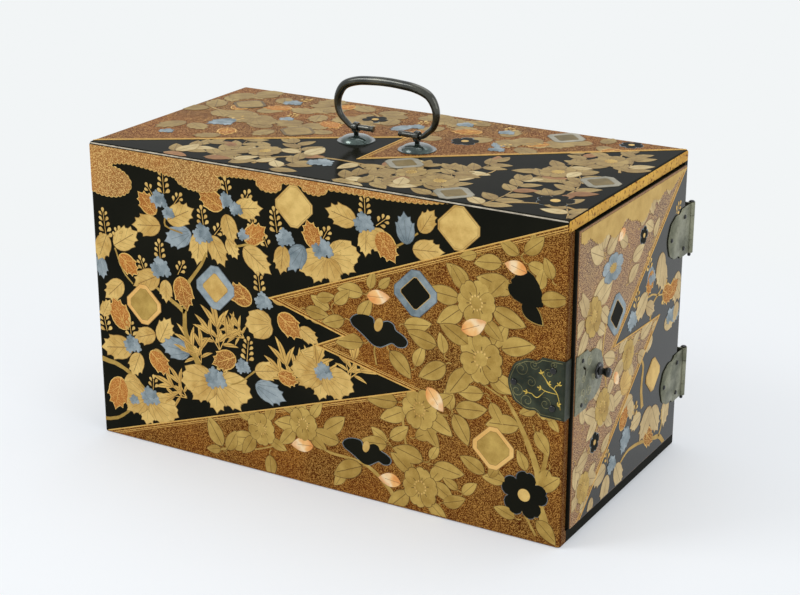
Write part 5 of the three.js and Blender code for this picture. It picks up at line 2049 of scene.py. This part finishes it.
@dataclass
class Fittings:
    """The metal: smoothed copies of the turned and cast pieces, rivets, gilt scrolls and the bail.

    Sizes are in millimetres. Rivets, vines, trefoils and spirals are placed from the edge of their
    plate and its middle height. A trefoil has its angle last, a spiral its radius and first angle.

    Attributes:
        leaf_rivet: The radius of a hinge rivet.
        strike_rivet: The radius of a rivet of the strike plate.
        door_rivet: The radius of a rivet of the door's lock plate.
        bail_tip: How far the bail's ends lie above its packed lower limit.
        bail_thin: The bail's radius beside its eyes.
        bail_thick: Its radius in the hand.
    """

    leaf_rivet: float = 2.0
    strike_rivet: float = 2.9
    door_rivet: float = 1.8
    bail_tip: float = 3.0
    bail_thin: float = 2.4
    bail_thick: float = 3.9

    STRIKE_RIVETS = ((9.5, 15.6), (9.5, -15.6), (42.8, 0.0))
    DOOR_RIVETS = ((10.6, 18.6), (10.6, -18.6))
    LEAF_RIVETS = ((13.2, 13.6), (41.0, 0.0), (13.2, -14.6))
    VINES = (
        ((2.7, -15.4), (3.8, -8.6), (5.5, -3.1), (8.5, 0.5), (13.0, 3.3), (15.8, 7.5), (19.0, 11.1)),
        ((5.5, -3.1), (11.7, -2.8), (15.8, -2.3), (19.2, -1.0)), ((8.5, 0.5), (6.9, 3.6), (4.4, 4.5)),
        ((15.8, -2.3), (19.2, -6.2), (22.0, -8.9), (24.7, -8.7), (27.2, -6.8), (30.9, -6.7)),
    )
    TREFOILS = ((19.0, 11.1, 70), (19.2, -1.0, 10), (4.4, 4.5, 110), (30.9, -6.7, 10), (13.4, 3.6, 120),
                (5.2, -12.0, 150))
    TREFOIL_PETALS = ((-52, 2.6), (0, 3.6), (52, 2.6))
    SPIRALS = ((40.0, -6.6, 6.4, 0.4), (36.6, 12.0, 6.0, 2.0), (31.0, -13.6, 6.2, 4.4),
               (15.4, -13.0, 5.4, 1.2), (25.6, 17.6, 4.2, 3.4), (13.0, 12.6, 4.4, 5.4),
               (28.0, 2.6, 4.6, 0.9), (9.4, 20.4, 2.8, 2.6))
    DOOR_SPIRALS = ((24.0, 14.0, 4.6, 0.6), (13.0, 3.0, 3.6, 3.4), (24.0, -10.0, 5.6, 1.6),
                    (12.0, -9.0, 4.2, 4.6), (32.0, -1.5, 3.4, 2.2), (19.0, -18.0, 3.2, 5.4))
    SPIRAL_STEPS = 25
    STRIKE_HEART = 22.0
    FOLD = 1.5
    SKIN = 0.05
    RIVET_HEAD = ((0.96, -0.12), (1.0, 0.05), (0.98, 0.22), (0.9, 0.36), (0.74, 0.5), (0.5, 0.6),
                  (0.2, 0.65))
    ROSETTE_DOME = ((2.5, 0.0), (16.4, 0.0), (16.4, 0.45), (16.1, 0.75), (14.0, 0.7), (13.7, 1.1),
                    (13.2, 1.9), (12.2, 3.0), (10.6, 3.9), (8.4, 4.65), (6.0, 5.1), (3.6, 5.35),
                    (2.5, 5.35))
    COLLAR_DISH = ((2.1, 0.0), (6.8, 0.0), (6.8, 0.6), (6.5, 1.25), (6.0, 1.55), (5.4, 1.5), (4.6, 1.2),
                   (3.2, 1.0), (2.1, 1.0))
    KNOB_TURNING = ((1.8, -15.2), (1.8, 1.4), (3.5, 1.6), (3.45, 2.2), (3.1, 3.0), (2.75, 4.0), (2.7, 5.0),
                    (2.95, 5.8), (3.6, 6.5), (3.95, 7.4), (4.0, 8.4), (3.8, 9.3), (3.2, 10.0), (2.2, 10.45),
                    (0.9, 10.6))
    BAIL_ENDS = ((0.4, 2.2), (2.2, 2.75), (3.4, 2.05))
    EYE_REACH = 14.0
    EYE_RADIUS = 2.6
    EYE_TAPER = 0.02
    SWELL_START = 23.5
    SWELL_LENGTH = 46.0
    SMOOTHED = (
        ("cabinet", PLATE, ("upper_hinge_box_leaf", "lower_hinge_box_leaf")),
        ("cabinet", RIVET, ("upper_hinge_pin", "lower_hinge_pin")),
        ("cabinet", HANDLE, ("left_eye_post", "right_eye_post")),
        ("door", PLATE, ("upper_hinge_door_leaf", "lower_hinge_door_leaf", "door_lock_plate")),
        *((f"drawer_{k}", ROSETTE, (f"drawer_{k}_pull",)) for k in range(1, 5)),
    )

    def build(self) -> None:
        """Builds and dresses all the metal."""
        self.smoothed()
        self.rivets()
        self.scrolls()
        self.bail()
        self.rosettes()
        self.knob()

    def smoothed(self) -> None:
        """Puts merged, smoothly shaded copies in the place of cast and turned pieces."""
        for body, finish, nodes in self.SMOOTHED:
            for node in nodes:
                copy = Bench.copy_of(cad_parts[node], f"{node}_metal")
                with Bench.editing(copy):
                    bpy.ops.mesh.remove_doubles(threshold=2e-6)
                Bench.smooth(copy)
                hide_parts(node)
                slot = Slot.DARK_BRONZE if node.endswith("pin") else Slot.BRONZE
                Bench.dress(copy, finish, slot, body)

    def dome(self, name: str, radius: float) -> Piece:
        """A domed rivet head with a short skirt."""
        rings = [(radius * across, radius * up) for across, up in self.RIVET_HEAD]
        return Bench.smooth(Bench.turned(name, rings, sides=28), angle=50)

    def rivets(self) -> None:
        """Rivets of the strike plate, the door plate and the hinge leaves."""
        corner, length = low("door_lock_plate", 1), high("front_side_board", 0)
        front, face = low("strike_plate", 1), high("door_lock_plate", 0)
        level = middle("strike_plate", 2)
        places = [(length - d, front, level + z) for d, z in self.STRIKE_RIVETS]
        turn = Matrix.Rotation(math.pi / 2, 4, "X")
        self.set_of("strike_plate_rivets", places, turn, self.strike_rivet, "cabinet", Slot.DARK_BRONZE)
        end_turn = Matrix.Rotation(math.pi / 2, 4, "Y")
        places = [(face, corner + d, level + z) for d, z in self.DOOR_RIVETS]
        self.set_of("door_plate_rivets", places, end_turn, self.door_rivet, "door", Slot.BRONZE)
        width = high("back_side_board", 1)
        back = width + face - high("door_panel", 0)
        outer, inner = [], []
        for hinge in ("upper_hinge_door_leaf", "lower_hinge_door_leaf"):
            for d, z in self.LEAF_RIVETS:
                outer.append((face, width - d, middle(hinge, 2) + z))
                inner.append((length - d, back, middle(hinge, 2) + z))
        self.set_of("hinge_leaf_rivets", outer, end_turn, self.leaf_rivet, "door", Slot.BRONZE)
        self.set_of("hinge_box_rivets", inner, turn.inverted(), self.leaf_rivet, "cabinet", Slot.BRONZE)

    def set_of(self, name: str, places: Sequence[Place], turn: Matrix, radius: float, body: str,
               slot: Slot) -> None:
        """Sets copies of one rivet head at the given places.

        Args:
            name: The set's name.
            places: The middles of the heads.
            turn: The turn that stands a head on its plate.
            radius: The radius of a head.
            body: The body it rides on.
            slot: Its slot.
        """
        first = self.dome(name, radius)
        heads = [Bench.settle(Bench.copy_of(first, name), Matrix.Translation(Vector(place) * MM) @ turn)
                 for place in places]
        bpy.data.objects.remove(first)
        Bench.dress(Bench.join(name, heads), RIVET, slot, body)

    def scrolls(self) -> None:
        """Spirals, a raised rim and a gilt vine on the strike plate, and spirals on the door plate."""
        front, length = low("strike_plate", 1), high("front_side_board", 0)
        level = middle("strike_plate", 2)

        def on_strike(d: float, z: float) -> Vector:
            """A place on the strike plate, from the case's corner and the lock's middle."""
            return Vector((length - d, front, level + z)) * MM

        gilt = [self.stroke(on_strike, smooth_path(points, steps=5), width=0.4) for points in self.VINES]
        for d, z, angle in self.TREFOILS:
            for turn, reach in self.TREFOIL_PETALS:
                petal = [stepped((d, z), angle + turn, reach * share) for share in (0.0, 0.5, 1.0)]
                gilt.append(self.stroke(on_strike, smooth_path(petal, steps=2), width=0.62))
        relief = [self.stroke(on_strike, self.spiral(*row), width=0.34) for row in self.SPIRALS]
        relief.append(self.stroke(on_strike, self.rim(length, level, inset=1.7), width=0.4, swell=0.0))
        for name, parts, finish in (("strike_plate_vine", gilt, GILT),
                                    ("strike_plate_relief", relief, RELIEF)):
            obj = Bench.join(name, parts)
            obj.data.attributes.new("tone", "FLOAT", "POINT")
            Bench.dress(obj, finish, Slot.DARK_BRONZE, "cabinet")
        face, corner = high("door_lock_plate", 0), low("door_lock_plate", 1)

        def on_door(d: float, z: float) -> Vector:
            """A place on the door's lock plate, from its free edge and the lock's middle."""
            return Vector((face, corner + d, level + z)) * MM

        fine = [self.stroke(on_door, self.spiral(*row), width=0.34) for row in self.DOOR_SPIRALS]
        Bench.dress(Bench.join("door_plate_relief", fine), PLATE_RELIEF, Slot.BRONZE, "door")

    @staticmethod
    def stroke(on: Callable[[float, float], Vector], points: Sequence[Point], width: float,
               swell: float = 0.65) -> Piece:
        """Raises one stroke on a plate.

        Args:
            on: Turns a point of the stroke into a place on the plate.
            points: The stroke's middle line.
            width: Its half width at its widest, in millimetres.
            swell: How much it thins towards its ends, from 0 to 1.

        Returns:
            The stroke, half sunk in the plate.
        """
        path = [on(*point) for point in points]
        bulge = [math.sin(math.pi * (0.12 + 0.76 * i / (len(path) - 1))) for i in range(len(path))]
        return Bench.rod("stroke", path, [width * (1 - swell + swell * part) for part in bulge], sides=1)

    @staticmethod
    def spiral(d: float, z: float, size: float, lean: float) -> list[Point]:
        """One and a half turns inwards about a middle, from an angle in radians.

        Args:
            d: The middle's distance from the corner.
            z: Its height above the lock's middle.
            size: The spiral's radius.
            lean: The angle it starts at.

        Returns:
            The points.
        """
        made = []
        for step in range(Fittings.SPIRAL_STEPS + 1):
            share = step / Fittings.SPIRAL_STEPS
            reach = size * (1 - 0.85 * share)
            angle = lean + 3 * math.pi * share
            made.append((d + reach * math.cos(angle), z + reach * math.sin(angle)))
        return made

    @staticmethod
    def rim(length: float, level: float, inset: float) -> list[Point]:
        """The strike plate's outline, moved in, from its corner round to its corner again.

        Args:
            length: Where the case's corner is.
            level: The lock's middle height.
            inset: How far it is moved in.

        Returns:
            The points.
        """
        front = low("strike_plate", 1)
        heart = Vector((Fittings.STRIKE_HEART, 0.0))
        corners = [vertex.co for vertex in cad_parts["strike_plate"].data.vertices]
        places = {(round(length - x / MM, 2), round(z / MM - level, 2))
                  for x, y, z in corners if y / MM < front + Fittings.SKIN}
        lobed = sorted((spot for spot in places if spot[0] > Fittings.FOLD),
                       key=lambda spot: math.atan2(spot[1], spot[0] - heart.x))
        inner = []
        for spot in lobed:
            reach = Vector(spot) - heart
            inner.append(tuple(heart + reach * (1 - inset / reach.length)))
        edge = high("strike_plate", 2) - level - inset
        return [(Fittings.FOLD, -edge), *inner, (Fittings.FOLD, edge)]

    def bail(self) -> None:
        """The bent carrying bail, thick in the hand and thin in its eyes, with tapered ends."""
        eye = middle("right_eye_post", 0)
        axis = low("bail", 2) + self.bail_tip
        half_width = high("bail", 0) - self.bail_thick
        rise = high("bail", 2) - self.bail_thick - axis
        reach = half_width - eye
        half = [(eye - 17.5, 0.0), (eye - 9.0, 0.0), (eye, 0.0), (eye + 5.0, 0.2),
                (eye + 0.55 * reach, 0.09 * rise), (eye + 0.86 * reach, 0.22 * rise),
                (half_width, 0.42 * rise), (eye + 0.92 * reach, 0.64 * rise),
                (eye + 0.58 * reach, 0.84 * rise), (eye - 2.0, 0.95 * rise), (0.4 * eye, 0.99 * rise)]
        points = [*half, (0.0, rise), *((-x, z) for x, z in reversed(half))]
        path = [Vector((x, 0.0, z + axis)) * MM for x, z in smooth_path(points, steps=8)]
        lengths = [0.0]
        for a, b in zip(path, path[1:]):
            lengths.append(lengths[-1] + (b - a).length / MM)
        radii = [self.bail_radius(min(along, lengths[-1] - along)) for along in lengths]
        obj = Bench.smooth(Bench.rod("bail_rod", path, radii, sides=9), angle=40)
        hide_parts("bail")
        Bench.dress(obj, HANDLE, Slot.BRONZE, "handle")

    def bail_radius(self, inward: float) -> float:
        """The bail's radius: a bead, a neck and an eye, and then a swell to the grip.

        Args:
            inward: The distance along it from its nearer end.

        Returns:
            The radius in millimetres.
        """
        for end, radius in self.BAIL_ENDS:
            if inward < end:
                return radius
        if inward < self.EYE_REACH:
            return self.EYE_RADIUS - self.EYE_TAPER * inward
        swell = min(1.0, max(0.0, (inward - self.SWELL_START) / self.SWELL_LENGTH))
        return self.bail_thin + (self.bail_thick - self.bail_thin) * swell * swell * (3 - 2 * swell)

    def rosettes(self) -> None:
        """Low polished domes with a thin flange, bored for the eye posts."""
        for side in ("left", "right"):
            node = f"{side}_rosette"
            place = Vector((middle(node, 0), middle(node, 1), low(node, 2))) * MM
            obj = Bench.turned(f"{node}_dome", self.ROSETTE_DOME, sides=56)
            Bench.settle(Bench.smooth(obj, angle=38), Matrix.Translation(place))
            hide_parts(node)
            Bench.dress(obj, ROSETTE, Slot.BRONZE, "cabinet")

    def knob(self) -> None:
        """The door's knob and its dished collar."""
        place = Vector((low("knob_collar", 0), middle("knob_collar", 1), middle("knob_collar", 2))) * MM
        stand = Matrix.Translation(place) @ Matrix.Rotation(math.pi / 2, 4, "Y")
        for node, end, profile, sides, slot in (
                ("knob_collar", "dish", self.COLLAR_DISH, 44, Slot.BRONZE),
                ("door_knob", "turning", self.KNOB_TURNING, 36, Slot.DARK_BRONZE)):
            obj = Bench.turned(f"{node}_{end}", profile, sides)
            Bench.settle(Bench.smooth(obj, angle=40), stand)
            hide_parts(node)
            Bench.dress(obj, RIVET, slot, "door")


@dataclass
class Woodwork:
    """The lacquered boards, linings and drawers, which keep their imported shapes."""

    def build(self) -> None:
        """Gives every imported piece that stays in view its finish."""
        finishes: dict[str, Finish] = {"door_panel": DOOR, "strike_plate": STRIKE, "lock_cover": PLATE}
        for node in ("top_board", "base_board", "front_side_board", "back_side_board", "far_end_board"):
            finishes[node] = CASE
        for node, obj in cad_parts.items():
            if node in finishes:
                finish = finishes[node]
            elif node.startswith("drawer_") and node.endswith("_front"):
                finish = DRAWER
            # The lock's iron is darkened; its extra darkness is painted shade in the keyway.
            elif node.startswith(("lock_", "knob_", "left_", "right_", "door_knob")):
                finish = SHADED_IRON
            elif "hinge" in node or node.endswith(("plate", "pull", "bail")):
                finish = PLATE
            else:
                finish = INSIDE
            obj.data.materials.clear()
            obj.data.materials.append(finish.material())


# ---- Stage ----


@dataclass
class Studio:
    """Pale floor, soft lamps and the camera.

    A lamp has its name, place, side and power in a row.

    Attributes:
        azimuth: The camera's angle round the part, in degrees.
        elevation: Its angle above the horizon.
        distance: Its distance from the target, in metres.
        target: What it looks at.
        lens: Its focal length on a 36 mm sensor.
    """

    azimuth: float = 30.229
    elevation: float = 19.848
    distance: float = 1.589
    target: Vector = field(default_factory=lambda: Vector((0.00996, 0.0058, 0.1325)))
    lens: float = 81.81

    LAMPS = (("key", (-1.05, -1.02, 1.55), 0.85, 14.4), ("fill", (2.1, -0.5, 1.3), 1.6, 13.0),
             ("over", (0.2, 0.9, 2.6), 1.8, 14.0))
    FLOOR_RADIUS = 9.0
    FLOOR_SIDES = 96
    FLOOR_DROP = 0.0004
    SENSOR = 36.0
    FAR_LIMIT = 50.0
    DAYLIGHT = (0.66, 0.67, 0.69)
    BACKDROP = (0.86, 0.88, 0.9)

    def build(self) -> None:
        """Sets the stage."""
        self.world()
        self.floor()
        for row in self.LAMPS:
            self.lamp(*row)
        self.camera()
        bpy.context.scene.view_settings.view_transform = "Standard"

    def world(self) -> None:
        """A plain grey world for light, pale where it is seen."""
        world = bpy.data.worlds.new("studio")
        bpy.context.scene.world = world
        world.use_nodes = True
        world.node_tree.nodes.clear()
        graph = Graph(world.node_tree)
        tone = graph.mix(graph.seen(), self.DAYLIGHT, self.BACKDROP)
        background = graph.node("ShaderNodeBackground", None, {0: tone})
        graph.node("ShaderNodeOutputWorld", None, {0: background.outputs[0]})

    def floor(self) -> None:
        """A wide pale floor just under the case, lit as it is and a little by itself."""
        Bench.clear()
        bpy.ops.mesh.primitive_circle_add(vertices=self.FLOOR_SIDES, radius=self.FLOOR_RADIUS,
                                          fill_type="NGON", location=(0, 0, -self.FLOOR_DROP))
        obj = Bench.named("studio_floor")
        bpy.ops.object.transform_apply(location=True, rotation=True, scale=True)
        shader = Shader("pale_floor")
        tone = shader.mix(shader.noise(900.0, detail=2.0), tint(236, 239, 243), tint(242, 244, 246))
        shader.finish(Base_Color=tone, Roughness=0.9, Specular_IOR_Level=0.1)
        x, y, _ = shader.place()
        away = (x * x + y * y).root().ramp(0.2, 0.7, 0.26, 1.0)
        light = shader.mix(away, tint(236, 241, 246), tint(242, 245, 246))
        glow = shader.node("ShaderNodeEmission", None, {"Color": light})
        blend = shader.node("ShaderNodeMixShader", None,
                            {0: shader.seen() * away, 1: shader.surface.outputs[0], 2: glow.outputs[0]})
        output = shader.tree.nodes["Material Output"]
        shader.tree.links.new(blend.outputs[0], output.inputs["Surface"])
        obj.data.materials.append(shader.material)

    def lamp(self, name: str, place: Place, size: float, power: float) -> None:
        """Adds a square soft lamp that looks at the part.

        Args:
            name: Its name.
            place: Where it hangs, in metres.
            size: Its side in metres.
            power: Its power in watts.
        """
        light = bpy.data.lights.new(name, "AREA")
        light.size = size
        light.energy = power
        obj = bpy.data.objects.new(name, light)
        obj.location = place
        obj.rotation_euler = (self.target - Vector(place)).to_track_quat("-Z", "Y").to_euler()
        bpy.context.scene.collection.objects.link(obj)

    def camera(self) -> None:
        """Adds the camera at the photograph's angle."""
        a, e = math.radians(self.azimuth), math.radians(self.elevation)
        back = Vector((math.sin(a) * math.cos(e), -math.cos(a) * math.cos(e), math.sin(e)))
        data = bpy.data.cameras.new("view")
        data.sensor_width = self.SENSOR
        data.lens = self.lens
        data.clip_end = self.FAR_LIMIT
        obj = bpy.data.objects.new("view", data)
        obj.location = self.target + back * self.distance
        obj.rotation_euler = (-back).to_track_quat("-Z", "Y").to_euler()
        bpy.context.scene.collection.objects.link(obj)
        bpy.context.scene.camera = obj


def main() -> None:
    """Builds the looks in order."""
    logging.basicConfig(level=logging.INFO, format="%(name)s: %(message)s")
    Studio().build()
    Woodwork().build()
    Fittings().build()
    Decoration().build()


if __name__ == "__main__":
    main()
